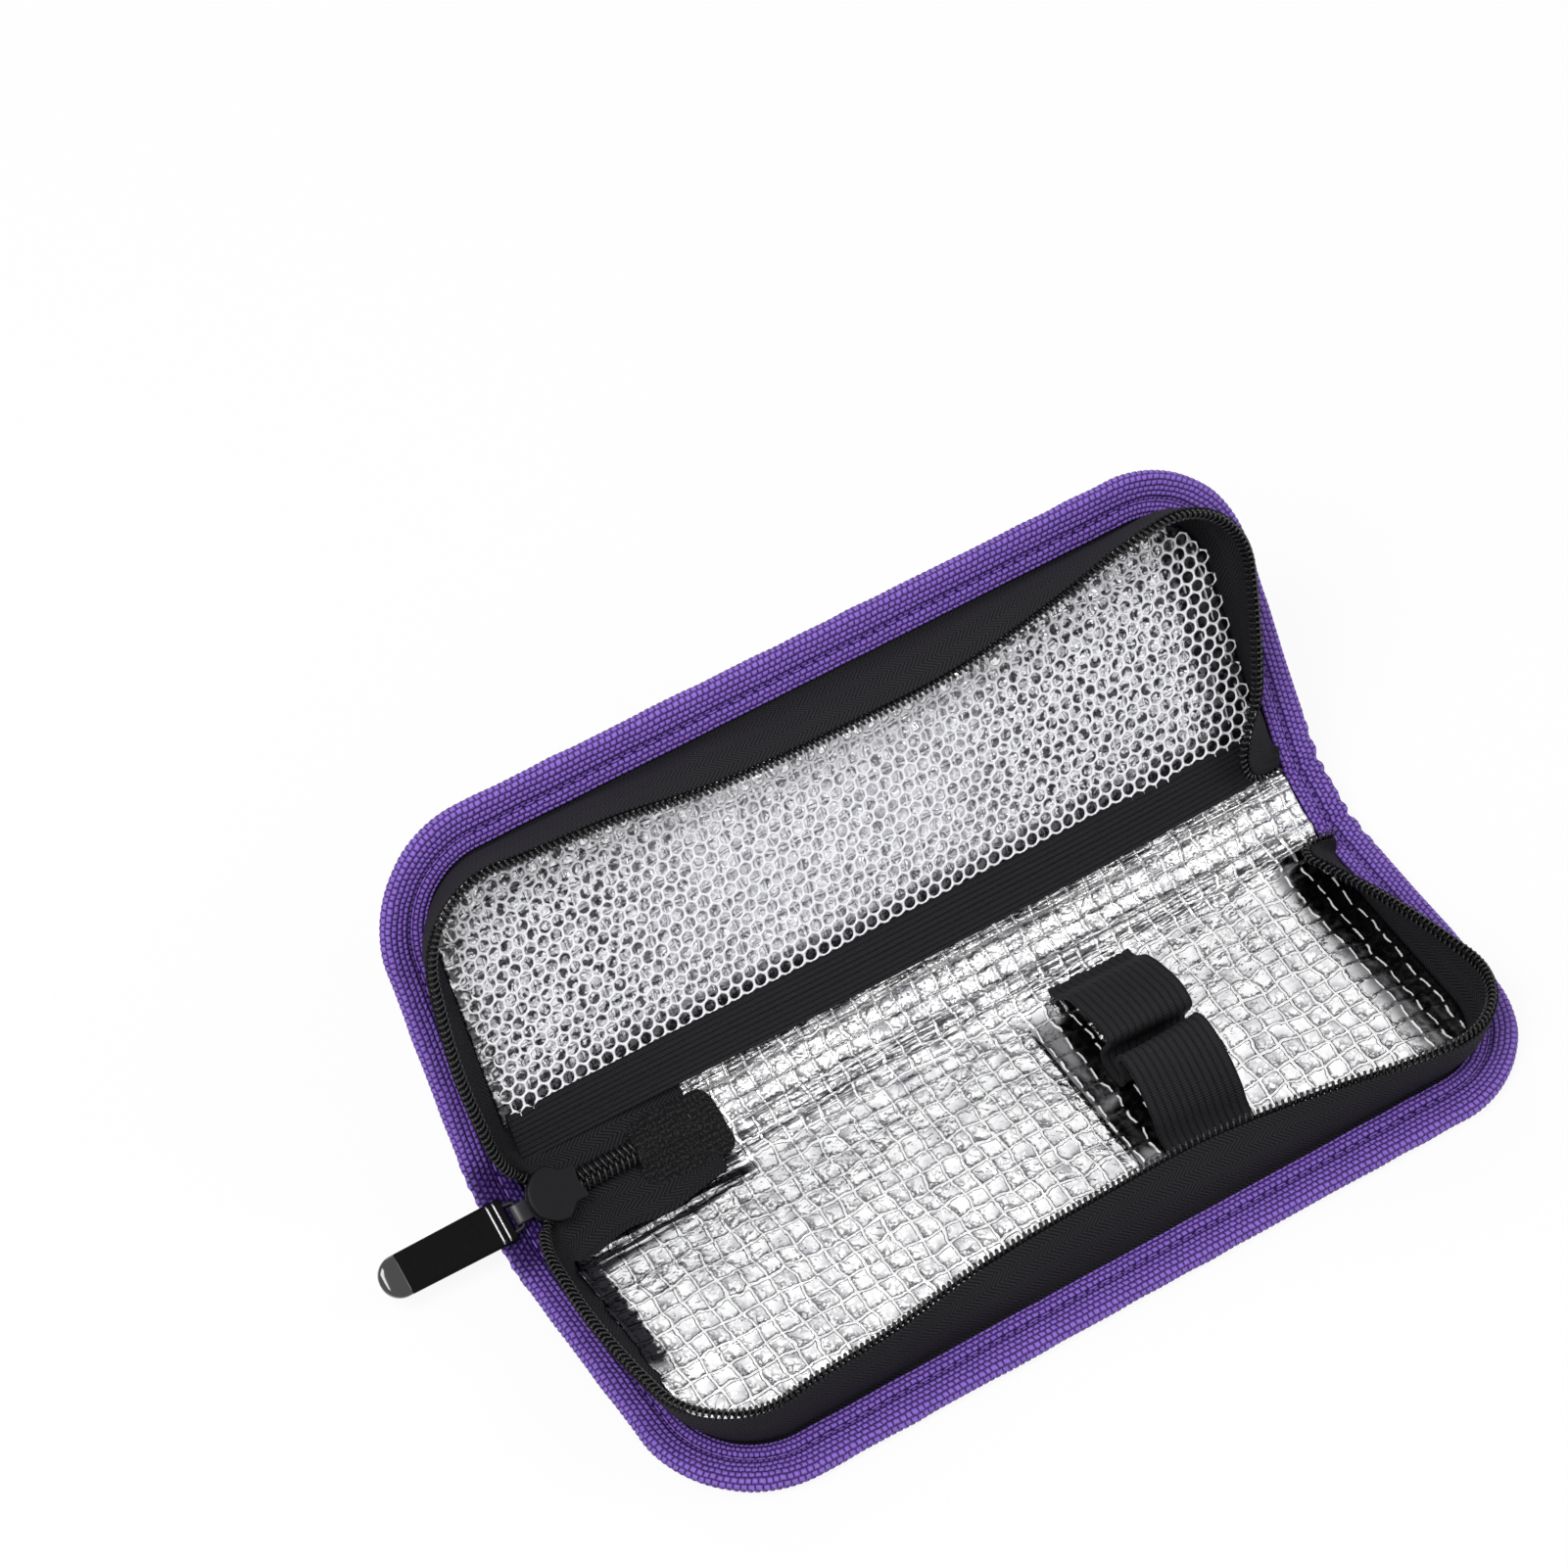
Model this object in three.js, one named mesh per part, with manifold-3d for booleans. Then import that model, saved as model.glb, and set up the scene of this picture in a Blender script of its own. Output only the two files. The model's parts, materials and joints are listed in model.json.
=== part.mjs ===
// A soft zipped cooling case for insulin pens, lying open as a tray with its lid leaning back.
// Two padded panels fold on a narrow spine. Each panel is a woven cover, a foam sheet and a foil
// lining, bound at the edge with webbing. A zip tape stands up along three sides of each panel,
// and the slider is parked on the tail of the zip at the left end of the spine.
//
// Axes: X runs along the case, the base lies flat on Z = 0 and the lid rises behind it on +Y.
// The origin is the centre of the underside of the base.

import * as THREE from 'three';
import { mergeGeometries, mergeVertices } from 'three/addons/utils/BufferGeometryUtils.js';
import Module from 'manifold-3d';

const wasm = await Module();
wasm.setup();

// Driving dimensions of the case, in millimetres
const caseLength = 210;
const panelDepth = 75;
const spineWidth = 16;
const cornerRadius = 26;
const coverThickness = 0.8;
const foamThickness = 2.2;
const liningThickness = 0.6;
const gap = 0.3;
const cutOverrun = 5;

// Turn of each of the two creases, as the case lies and when it is zipped shut, in degrees
const openTurn = 27.5;
const closedTurn = 83.5;

// Edge binding: folded webbing with one leg outside and one inside, sewn through near its edges
const webbingThickness = 1;
const bindingOutside = 10.5;
const bindingInside = 9.5;
const bindingRound = 0.5;
const stitchSetback = 3;
const stitchGrooveWidth = 0.9;
const stitchGrooveDepth = 0.25;

// Zip tapes and coils
const tapeThickness = 0.8;
const hemThickness = 0.5;
const hemStart = 1.7;
const tapeLeftStart = 12;
const tapeRightCurl = 9;
const tapeRightEnd = 7;
const curlReach = 3;
const curlHeight = 4.2;
const coilWidth = 2.5;
const coilThickness = 1.6;
const coilToothDepth = 0.7;
const coilPitch = 4;
const coilInsetMiddle = 17;

// Coil line along the edge: share of the way round, and share of the inset at the middle
const coilInsetShares = [
  [0, 0.2], [0.08, 0.03], [0.15, 0.12], [0.21, 0.33], [0.27, 0.53], [0.34, 0.66],
  [0.4, 0.88], [0.5, 1], [0.58, 0.99], [0.65, 0.735], [0.705, 0.45], [0.735, 0.36],
  [0.87, 0.42], [0.93, 0.7], [0.965, 0.95], [1, 1.02],
];

// Pen loops: one elastic band sewn down as two arches
const loopBandWidth = 20;
const loopBandThickness = 1;
const loopBandLeft = 21.5;
const loopFootLength = 2.3;
const loopSeamWidth = 2;
const loopBackFoot = 5.2;
const loopSpan = 20.3;
const loopHeight = 9.6;
const loopLean = 2.2;
const loopSquareness = 2.6;

// Mesh pocket and the elastic along its mouth
const bandStart = 3.2;
const bandWidth = 11;
const bandThickness = 0.8;
const bandRise = 1.1;
const bandBow = 2;
const bandLeft = 93;
const bandRight = 88;
const netThickness = 0.6;
const netRise = 0.5;
const netBow = 2.4;
const netPitch = 7.2;
const netStrand = 1.2;
const netRim = 1.2;
const netEndPower = 4;

// Tail of the zip on the spine, with the cover sewn over its end
const tailCentre = 7.5;
const tailTapeWidth = 10.4;
const tailTapeThickness = 0.6;
const tailLift = 3.4;
const tailSlit = 1.4;
const tailSlitEnd = 4.5;
const tailStart = 18.5;
const tailDropStart = 29;
const tailDropEnd = 35;
const tailEnd = 51;
const tailCoilWidth = 2;
const tailCoilThickness = 1.5;
const tailCoilPitch = 1.9;
const toothRootHeightShare = 0.6;
const toothRootWidthShare = 0.85;
const endCoverStart = 36;
const endCoverLength = 19;
const endCoverWidth = 13.6;
const endCoverThickness = 1.2;
const endCoverRadius = 2;

// Slider: two plates joined by a wedge, with a lug below for the pull
const sliderNose = 8;
const sliderLength = 11.5;
const sliderWidth = 11;
const sliderCorner = 1.6;
const sliderCheekShare = 0.25;
const sliderNoseShare = 0.5;
const sliderPlate = 0.9;
const wedgeLength = 2.4;
const wedgeWidth = 0.8;
const wedgeSetback = 0.5;
const flangeThickness = 0.8;
const flangeLength = 7;
const lugLength = 4;
const lugWidth = 4.4;
const lugOverlap = 1.2;

// Pull: a wire link through the lug and a long moulded tab
const linkWire = 1;
const linkPlay = 0.3;
const linkInside = 4.6;
const linkArm = 1;
const tabLength = 28.5;
const tabWidth = 9.2;
const tabTipWidth = 8;
const tabThickness = 1.8;
const tabTipCrown = 0.8;
const tabRootGap = 2.6;
const ridgeWidth = 0.7;
const ridgeHeight = 0.4;
const ridgeSpacing = 1.5;
const ridgeSetback = 1.4;

// Counts and shares
const arcSteps = 6;
const frontSteps = 14;
const sideSteps = 3;
const steepestJoin = 0.5;
const curlSteps = 4;
const archSteps = 18;
const bandSteps = 12;
const stepsAcrossDrop = 5;

// Heights inside a panel, measured from the inner face of the lining
const panelThickness = coverThickness + foamThickness + liningThickness + 2 * gap;
const panelBottom = -panelThickness;
const marginBottom = panelBottom + webbingThickness + gap;
const marginTop = marginBottom + coverThickness;
const hemBottom = marginTop + gap;
const hemTop = hemBottom + hemThickness;
const foamTop = -liningThickness - gap;
const foamBottom = foamTop - foamThickness;

// Insets from the edge of a panel
const marginInset = webbingThickness + gap;
const stepInset = bindingOutside + gap;
const foamInset = stepInset + coverThickness + gap;
const tapeFoot = bindingInside + gap;
const liningInset = tapeFoot + tapeThickness + gap;

// The zip tape leans in by up to its own height, so the net keeps off it by the net's height
const netInset = liningInset + netRise + netThickness;

// The line round three sides of a panel, from the left end of the crease to the right end
const sideRun = panelDepth - cornerRadius;
const arcRun = (Math.PI / 2) * cornerRadius;
const frontRun = caseLength - 2 * cornerRadius;
const edgeRun = 2 * sideRun + 2 * arcRun + frontRun;

// Materials
function finish(color, roughness, metalness = 0) {
  return new THREE.MeshStandardMaterial({ color, roughness, metalness });
}

const wovenPurple = finish(0x4a2a9e, 0.75);
const webbingPurple = finish(0x6a3fc4, 0.8);
const foamGrey = finish(0x8c8c90, 0.95);
const foilSilver = finish(0xd6d8dc, 0.25, 0.9);
const tapeBlack = finish(0x15151a, 0.85);
const coilBlack = finish(0x101013, 0.4);
const elasticBlack = finish(0x1a1a1f, 0.9);
const meshWhite = finish(0xe9e9f2, 0.55);
const velvetBlack = finish(0x0c0c0f, 1);
const sliderGrey = finish(0x2c2c33, 0.45, 0.3);
const linkSteel = finish(0x33333a, 0.35, 0.8);
const pullBlack = finish(0x0b0b0d, 0.12);

// Closed solids in and out of the cutting library
function toSolid(geometry) {
  const bare = geometry.clone();
  bare.deleteAttribute('normal');
  bare.deleteAttribute('uv');
  const merged = mergeVertices(bare);
  return new wasm.Manifold(new wasm.Mesh({
    numProp: 3,
    vertProperties: new Float32Array(merged.attributes.position.array),
    triVerts: new Uint32Array(merged.index.array),
  }));
}

function toGeometry(solid) {
  const mesh = solid.getMesh();
  const geometry = new THREE.BufferGeometry();
  geometry.setAttribute('position', new THREE.BufferAttribute(mesh.vertProperties, 3));
  geometry.setIndex(new THREE.BufferAttribute(mesh.triVerts, 1));
  return geometry;
}

function joined(...geometries) {
  return toGeometry(geometries.map(toSolid).reduce((sum, next) => sum.add(next)));
}

function cut(geometry, ...tools) {
  return toGeometry(tools.map(toSolid).reduce((rest, tool) => rest.subtract(tool), toSolid(geometry)));
}

// A block from its low corner to its high corner
function block(low, high) {
  const size = high.clone().sub(low);
  const middle = low.clone().add(high).multiplyScalar(0.5);
  return new THREE.BoxGeometry(size.x, size.y, size.z).translate(middle.x, middle.y, middle.z);
}

// A flat outline raised from one height to another
function slab(shape, bottom, top) {
  const settings = { depth: top - bottom, bevelEnabled: false, curveSegments: arcSteps / 2 };
  return new THREE.ExtrudeGeometry(shape, settings).translate(0, 0, bottom);
}

// A closed skin through rings of points, with a cap on the first and the last ring.
// Each ring holds its points in space and the same points flat, from which its cap is cut.
function loft(rings) {
  const count = rings[0].points.length;
  const positions = rings.flatMap((ring) => ring.points.flatMap((point) => point.toArray()));
  const index = [];
  for (let ring = 0; ring < rings.length - 1; ring += 1) {
    for (let side = 0; side < count; side += 1) {
      const a = ring * count + side;
      const b = ring * count + ((side + 1) % count);
      index.push(a, b, b + count, a, b + count, a + count);
    }
  }
  const clockwise = THREE.ShapeUtils.isClockWise(rings[0].flat);
  const capOf = (ring) => THREE.ShapeUtils.triangulateShape(rings[ring].flat, []);
  const last = rings.length - 1;
  capOf(0).forEach(([a, b, c]) => index.push(...(clockwise ? [a, b, c] : [c, b, a])));
  capOf(last).forEach(([a, b, c]) => {
    const shifted = [a, b, c].map((corner) => corner + last * count);
    index.push(...(clockwise ? shifted.reverse() : shifted));
  });
  const geometry = new THREE.BufferGeometry();
  geometry.setAttribute('position', new THREE.BufferAttribute(new Float32Array(positions), 3));
  geometry.setIndex(index);
  return facingOut(geometry);
}

// Turns every face over where the skin encloses a negative volume
function facingOut(geometry) {
  const position = geometry.attributes.position;
  const index = Array.from(geometry.index.array);
  const corner = (slot) => new THREE.Vector3().fromBufferAttribute(position, index[slot]);
  let volume = 0;
  for (let slot = 0; slot < index.length; slot += 3) {
    volume += corner(slot).dot(corner(slot + 1).cross(corner(slot + 2)));
  }
  if (volume < 0) {
    index.reverse();
    geometry.setIndex(index);
  }
  return geometry;
}

// A smooth value from a table of shares: cubic pieces that run through every row
function fromTable(table, share) {
  const last = table.length - 1;
  const after = Math.min(Math.max(table.findIndex((row) => row[0] >= share), 1), last);
  const rows = [after - 2, after - 1, after, after + 1].map((row) => table[Math.min(Math.max(row, 0), last)]);
  const [before, start, end, next] = rows;
  const width = end[0] - start[0];
  const along = (share - start[0]) / width;
  const slope = (from, to) => ((to[1] - from[1]) / (to[0] - from[0])) * width;
  const slopeStart = slope(before, end);
  const slopeEnd = slope(start, next);
  const square = along * along;
  const cube = square * along;
  return (2 * cube - 3 * square + 1) * start[1] + (cube - 2 * square + along) * slopeStart
    + (3 * square - 2 * cube) * end[1] + (cube - square) * slopeEnd;
}

// A point on the panel's edge, a distance round from the left end of the crease, with the
// direction that points inwards there. Panels are drawn with X along the crease, Y away from it.
function edgePoint(distance) {
  const half = caseLength / 2;
  if (distance <= sideRun) {
    return { at: new THREE.Vector2(-half, distance), inward: new THREE.Vector2(1, 0) };
  }
  if (distance >= edgeRun - sideRun) {
    return { at: new THREE.Vector2(half, edgeRun - distance), inward: new THREE.Vector2(-1, 0) };
  }
  if (distance >= sideRun + arcRun && distance <= edgeRun - sideRun - arcRun) {
    const x = distance - sideRun - arcRun - frontRun / 2;
    return { at: new THREE.Vector2(x, panelDepth), inward: new THREE.Vector2(0, -1) };
  }
  const onLeft = distance < edgeRun / 2;
  const into = onLeft ? distance - sideRun : edgeRun - sideRun - distance;
  const turn = into / cornerRadius;
  const sign = onLeft ? 1 : -1;
  const inward = new THREE.Vector2(sign * Math.cos(turn), -Math.sin(turn));
  const centre = new THREE.Vector2(-sign * (half - cornerRadius), panelDepth - cornerRadius);
  return { at: centre.sub(inward.clone().multiplyScalar(cornerRadius)), inward };
}

// Distances round the edge at which a swept piece gets a ring
function edgeDistances(start, end) {
  const spread = (from, to, steps) => Array.from({ length: steps }, (_, step) => from + ((to - from) * step) / steps);
  return [
    ...spread(start, sideRun, sideSteps),
    ...spread(sideRun, sideRun + arcRun, arcSteps),
    ...spread(sideRun + arcRun, edgeRun - sideRun - arcRun, frontSteps),
    ...spread(edgeRun - sideRun - arcRun, edgeRun - sideRun, arcSteps),
    ...spread(edgeRun - sideRun, end, sideSteps),
    end,
  ];
}

// A ring of a swept piece: section points are inset from the edge and height
function edgeRing(edge, section) {
  return {
    flat: section,
    points: section.map((point) => new THREE.Vector3(
      edge.at.x + edge.inward.x * point.x,
      edge.at.y + edge.inward.y * point.x,
      point.y,
    )),
  };
}

// The panel's outline, inset from the edge on three sides and cut along the crease
function panelShape(inset, creaseSide = gap / 2) {
  const half = caseLength / 2;
  const radius = cornerRadius - inset;
  const shape = new THREE.Shape();
  shape.moveTo(half - inset, creaseSide);
  shape.lineTo(half - inset, panelDepth - cornerRadius);
  shape.absarc(half - cornerRadius, panelDepth - cornerRadius, radius, 0, Math.PI / 2, false);
  shape.lineTo(cornerRadius - half, panelDepth - inset);
  shape.absarc(cornerRadius - half, panelDepth - cornerRadius, radius, Math.PI / 2, Math.PI, false);
  shape.lineTo(inset - half, creaseSide);
  return shape;
}

// The spine's outline, inset at its two ends and cut along both creases
function spineShape(inset, creaseSide = gap / 2) {
  const half = caseLength / 2 - inset;
  const shape = new THREE.Shape();
  shape.moveTo(-half, creaseSide);
  shape.lineTo(half, creaseSide);
  shape.lineTo(half, spineWidth - creaseSide);
  shape.lineTo(-half, spineWidth - creaseSide);
  return shape;
}

// The woven cover: a shallow pan whose margin steps up into the binding
function coverOf(outline) {
  const pan = joined(
    slab(outline(marginInset), marginBottom, marginTop),
    slab(outline(stepInset), panelBottom, marginTop),
  );
  const hollow = slab(
    outline(stepInset + coverThickness, -cutOverrun),
    panelBottom + coverThickness,
    marginTop + cutOverrun,
  );
  return cut(pan, hollow);
}

function foamOf(outline) {
  return slab(outline(foamInset), foamBottom, foamTop);
}

function liningOf(outline, inset) {
  return slab(outline(inset), -liningThickness, 0);
}

// Section of the binding: a U of webbing with a sewn groove along each leg
function bindingSection() {
  const groove = (legEnd, face, inwards) => {
    const far = legEnd - stitchSetback;
    const near = far - stitchGrooveWidth;
    const deep = face + inwards * stitchGrooveDepth;
    return [[far, face], [far - bindingRound / 2, deep], [near + bindingRound / 2, deep], [near, face]];
  };
  const outer = groove(bindingOutside, panelBottom, 1);
  const inner = groove(bindingInside, 0, -1).reverse();
  return [
    [bindingRound, 0],
    ...inner,
    [bindingInside, 0],
    [bindingInside, -webbingThickness],
    [webbingThickness, -webbingThickness],
    [webbingThickness, panelBottom + webbingThickness],
    [bindingOutside, panelBottom + webbingThickness],
    [bindingOutside, panelBottom],
    ...outer,
    [bindingRound, panelBottom],
    [0, panelBottom + bindingRound],
    [0, -bindingRound],
  ].map(([inset, height]) => new THREE.Vector2(inset, height));
}

function panelBinding() {
  const section = bindingSection();
  const rings = edgeDistances(gap / 2, edgeRun - gap / 2).map((way) => edgeRing(edgePoint(way), section));
  return loft(rings);
}

function spineBinding(side) {
  const section = bindingSection();
  const inward = new THREE.Vector2(-side, 0);
  const rings = [gap / 2, spineWidth - gap / 2].map((y) => edgeRing(
    { at: new THREE.Vector2((side * caseLength) / 2, y), inward },
    section,
  ));
  return loft(rings);
}

// Height at which the two coils meet when the case is shut, a distance from the crease.
// It is the plane half way between the panels, as the creases turn by the closed angle.
function meetingHeight(depth) {
  const turn = THREE.MathUtils.degToRad(closedTurn);
  return (spineWidth / 2 + depth * Math.cos(turn)) / Math.sin(turn);
}

// Where the zip tape stands at a distance round the edge: its foot, the top of its coil, and
// the directions up the tape and square to it on the inner side, all as inset and height
function tapeFrame(distance) {
  const edge = edgePoint(distance);
  const inset = coilInsetMiddle * fromTable(coilInsetShares, distance / edgeRun);
  const nearest = edge.at.y + edge.inward.y * (inset + tapeThickness / 2 + gap + coilThickness);
  return { edge, ...standingTape(inset, meetingHeight(nearest) - gap / 2) };
}

function standingTape(inset, height) {
  const foot = new THREE.Vector2(tapeFoot + tapeThickness / 2, gap);
  const up = new THREE.Vector2(inset, height).sub(foot).normalize();
  const square = new THREE.Vector2(up.y, -up.x);
  const coilFace = tapeThickness / 2 + gap + coilThickness;
  const rise = Math.max(square.y * coilFace, (-square.y * tapeThickness) / 2);
  const top = new THREE.Vector2(inset, height - rise);
  return { foot, up, square, top };
}

// The right end of the tape curls round to the binding: the ring turns about its foot
function curledFrame(step) {
  const turn = (Math.PI / 2) * (step / curlSteps);
  const start = tapeFrame(edgeRun - tapeRightCurl);
  const foot = tapeFoot + tapeThickness / 2;
  const share = Math.sin(turn);
  const reach = THREE.MathUtils.lerp(start.top.x - foot, curlReach, share);
  const height = THREE.MathUtils.lerp(start.top.y, curlHeight, share);
  const y = THREE.MathUtils.lerp(tapeRightCurl, tapeRightEnd, step / curlSteps);
  const inward = new THREE.Vector2(-Math.cos(turn), -Math.sin(turn));
  const at = new THREE.Vector2(caseLength / 2 - foot, y).sub(inward.clone().multiplyScalar(foot));
  return { edge: { at, inward }, ...standingTape(foot + reach, height) };
}

function tapeFrames(distances) {
  const curls = Array.from({ length: curlSteps }, (_, step) => curledFrame(step + 1));
  return [...distances.map(tapeFrame), ...curls];
}

// The standing tape, with its hem lying under the inner leg of the binding
function zipTape() {
  const half = tapeThickness / 2;
  const rings = tapeFrames(edgeDistances(tapeLeftStart, edgeRun - tapeRightCurl)).map((frame) => {
    const { edge, foot, up, square, top } = frame;
    const end = top.clone().addScaledVector(up, -gap);
    const seat = top.clone().addScaledVector(up, -coilWidth - gap);
    const side = square.clone().multiplyScalar(half);
    return edgeRing(edge, [
      new THREE.Vector2(foot.x - half, hemBottom),
      new THREE.Vector2(foot.x + half, hemBottom),
      new THREE.Vector2(foot.x + half, foot.y),
      seat.clone().add(side),
      end.clone().add(side),
      end.clone().sub(side),
      seat.clone().sub(side),
      new THREE.Vector2(foot.x - half, foot.y),
    ]);
  });
  const hem = [[hemStart, hemBottom], [tapeFoot + half, hemBottom], [tapeFoot + half, hemTop], [hemStart, hemTop]]
    .map(([inset, height]) => new THREE.Vector2(inset, height));
  const hemRings = edgeDistances(tapeLeftStart, edgeRun - tapeRightCurl)
    .map((way) => edgeRing(edgePoint(way), hem));
  return joined(loft(rings), loft(hemRings));
}

// The coil's ring at one frame of the tape, either at the tip of a tooth or between two teeth
function coilRing({ edge, up, square, top }, onTooth) {
  const near = tapeThickness / 2 + gap;
  const far = near + coilThickness - (onTooth ? 0 : coilToothDepth / 2);
  const tip = onTooth ? 0 : -coilToothDepth;
  const place = (along, across) => top.clone().addScaledVector(up, along).addScaledVector(square, across);
  return edgeRing(edge, [place(-coilWidth, near), place(-coilWidth, far), place(tip, far), place(tip, near)]);
}

// The coil along the inner face of the tape, a strip whose edge is cut into teeth. Between two
// frames of the tape it runs straight, as the tape does, so that it stays clear of it.
function zipCoil() {
  const frames = tapeFrames(edgeDistances(tapeLeftStart, edgeRun - tapeRightCurl));
  const rings = [];
  for (let index = 0; index < frames.length - 1; index += 1) {
    const reach = coilRing(frames[index], true).points[2].distanceTo(coilRing(frames[index + 1], true).points[2]);
    const steps = 2 * Math.max(Math.round(reach / coilPitch), 1);
    for (let step = 0; step < steps; step += 1) {
      const onTooth = step % 2 === 1;
      const from = coilRing(frames[index], onTooth);
      const to = coilRing(frames[index + 1], onTooth);
      rings.push({
        flat: from.flat,
        points: from.points.map((point, corner) => point.clone().lerp(to.points[corner], step / steps)),
      });
    }
  }
  return loft([...rings, coilRing(frames[frames.length - 1], false)]);
}

// A ribbon of constant thickness along a line of points, as a flat outline
function ribbonShape(line, thickness) {
  const half = thickness / 2;
  const offset = (sign) => line.map((point, index) => {
    const before = line[Math.max(index - 1, 0)];
    const after = line[Math.min(index + 1, line.length - 1)];
    const into = point.clone().sub(before).normalize();
    const out = after.clone().sub(point).normalize();
    const along = into.add(out).normalize();
    const reach = Math.max(index ? along.dot(point.clone().sub(before).normalize()) : 1, steepestJoin);
    return new THREE.Vector2(point.x - (sign * along.y * half) / reach, point.y + (sign * along.x * half) / reach);
  });
  return new THREE.Shape([...offset(1), ...offset(-1).reverse()]);
}

// One arch of the pen loops, from its back foot to its front foot, as distance and height
function archLine(start, base) {
  const halfSpan = loopSpan / 2;
  const power = 2 / loopSquareness;
  return Array.from({ length: archSteps + 1 }, (_, step) => {
    const turn = Math.PI * (1 - step / archSteps);
    const across = Math.sign(Math.cos(turn)) * Math.abs(Math.cos(turn)) ** power;
    const rise = Math.abs(Math.sin(turn)) ** power;
    return new THREE.Vector2(start + halfSpan + halfSpan * across - loopLean * rise, base + loopHeight * rise);
  });
}

function penLoops() {
  const base = gap + loopBandThickness / 2;
  const firstArch = loopBackFoot + loopFootLength;
  const secondArch = firstArch + loopSpan + loopSeamWidth;
  const line = [
    new THREE.Vector2(loopBackFoot, base),
    ...archLine(firstArch, base),
    ...archLine(secondArch, base),
    new THREE.Vector2(secondArch + loopSpan + loopFootLength, base),
  ];
  const settings = { depth: loopBandWidth, bevelEnabled: false };
  const turned = new THREE.Matrix4().makeBasis(
    new THREE.Vector3(0, 1, 0),
    new THREE.Vector3(0, 0, 1),
    new THREE.Vector3(1, 0, 0),
  );
  return new THREE.ExtrudeGeometry(ribbonShape(line, loopBandThickness), settings)
    .applyMatrix4(turned)
    .translate(loopBandLeft, 0, 0);
}

// How far the slack pocket stands off along the case: a low bow with flattened ends
function bowShare(x) {
  const share = THREE.MathUtils.clamp((x + bandLeft) / (bandLeft + bandRight), 0, 1);
  return Math.sin(Math.PI * share) ** 2;
}

function pocketElastic() {
  const end = bandStart + bandWidth;
  const rings = Array.from({ length: bandSteps + 1 }, (_, step) => {
    const x = THREE.MathUtils.lerp(-bandLeft, bandRight, step / bandSteps);
    const bow = bandBow * bowShare(x);
    const section = [
      new THREE.Vector2(bandStart, bandRise + bow),
      new THREE.Vector2(end, bandRise + bow / 2),
      new THREE.Vector2(end, bandRise + bow / 2 + bandThickness),
      new THREE.Vector2(bandStart, bandRise + bow + bandThickness),
    ];
    return { flat: section, points: section.map((point) => new THREE.Vector3(x, point.x, point.y)) };
  });
  return loft(rings);
}

// The mesh pocket: a net of six-sided gaps, cut out of a sheet and then bowed off the lining
function meshPocket() {
  const mouth = bandStart + bandWidth + gap;
  const sheet = slab(panelShape(netInset, mouth), 0, netThickness);
  const field = slab(panelShape(netInset + netRim, mouth + netRim), -cutOverrun, netThickness + cutOverrun);
  const gapRadius = (netPitch - netStrand) / Math.sqrt(3);
  const rowStep = (netPitch * Math.sqrt(3)) / 2;
  const rows = Math.floor((panelDepth - netInset - mouth) / rowStep) + 1;
  const columns = Math.floor((caseLength - 2 * netInset) / netPitch) + 1;
  const cells = [];
  for (let row = 0; row < rows; row += 1) {
    for (let column = 0; column < columns; column += 1) {
      const x = (column + (row % 2) / 2 - columns / 2) * netPitch;
      const y = mouth + netRim + netPitch / 2 + row * rowStep;
      if (insidePanel(x, y, netInset + netRim + gapRadius / 2)) {
        const cell = new THREE.CylinderGeometry(gapRadius, gapRadius, netThickness + 2 * cutOverrun, 6);
        cells.push(cell.rotateX(Math.PI / 2).translate(x, y, 0));
      }
    }
  }
  const gaps = toSolid(mergeGeometries(cells)).intersect(toSolid(field));
  const net = toGeometry(toSolid(sheet).subtract(gaps));
  return bowed(net, mouth);
}

// Whether a point lies inside the panel's outline by at least an inset
function insidePanel(x, y, inset) {
  const overSide = Math.max(Math.abs(x) - (caseLength / 2 - cornerRadius), 0);
  const overFront = Math.max(y - (panelDepth - cornerRadius), 0);
  return Math.hypot(overSide, overFront) <= cornerRadius - inset;
}

// Lifts a flat net off the lining: low at the sewn edge, as high as the band at the mouth
function bowed(geometry, mouth) {
  const position = geometry.attributes.position;
  const length = caseLength / 2 - netInset;
  const depth = panelDepth - netInset - mouth;
  for (let index = 0; index < position.count; index += 1) {
    const x = position.getX(index);
    const share = (position.getY(index) - mouth) / depth;
    const across = Math.cos((Math.PI / 2) * share);
    const hump = Math.sin(Math.PI * share);
    const along = Math.max(1 - Math.abs(x / length) ** netEndPower, 0);
    const lift = (bandBow / 2) * bowShare(x) * across + netBow * hump * along;
    position.setZ(index, position.getZ(index) + netRise + lift);
  }
  return geometry;
}

// Pieces on the spine are measured from its left end and its lower crease
const spineLeft = -caseLength / 2;
const coilBase = tailLift + tailTapeThickness + gap;

// Height of the tail tape's underside: level under the slider, then down to the lining
function tailHeight(along) {
  return THREE.MathUtils.lerp(tailLift, gap, THREE.MathUtils.smoothstep(along, tailDropStart, tailDropEnd));
}

// A strip of the tail, from one place along the spine to another, between two sides
function tailStrip(places, side, far, bottomOf, topOf) {
  const rings = places.map((along) => {
    const section = [[side, bottomOf(along)], [far, bottomOf(along)], [far, topOf(along)], [side, topOf(along)]]
      .map(([y, z]) => new THREE.Vector2(y, z));
    return {
      flat: section,
      points: section.map((point) => new THREE.Vector3(spineLeft + along, tailCentre + point.x, point.y)),
    };
  });
  return loft(rings);
}

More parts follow.
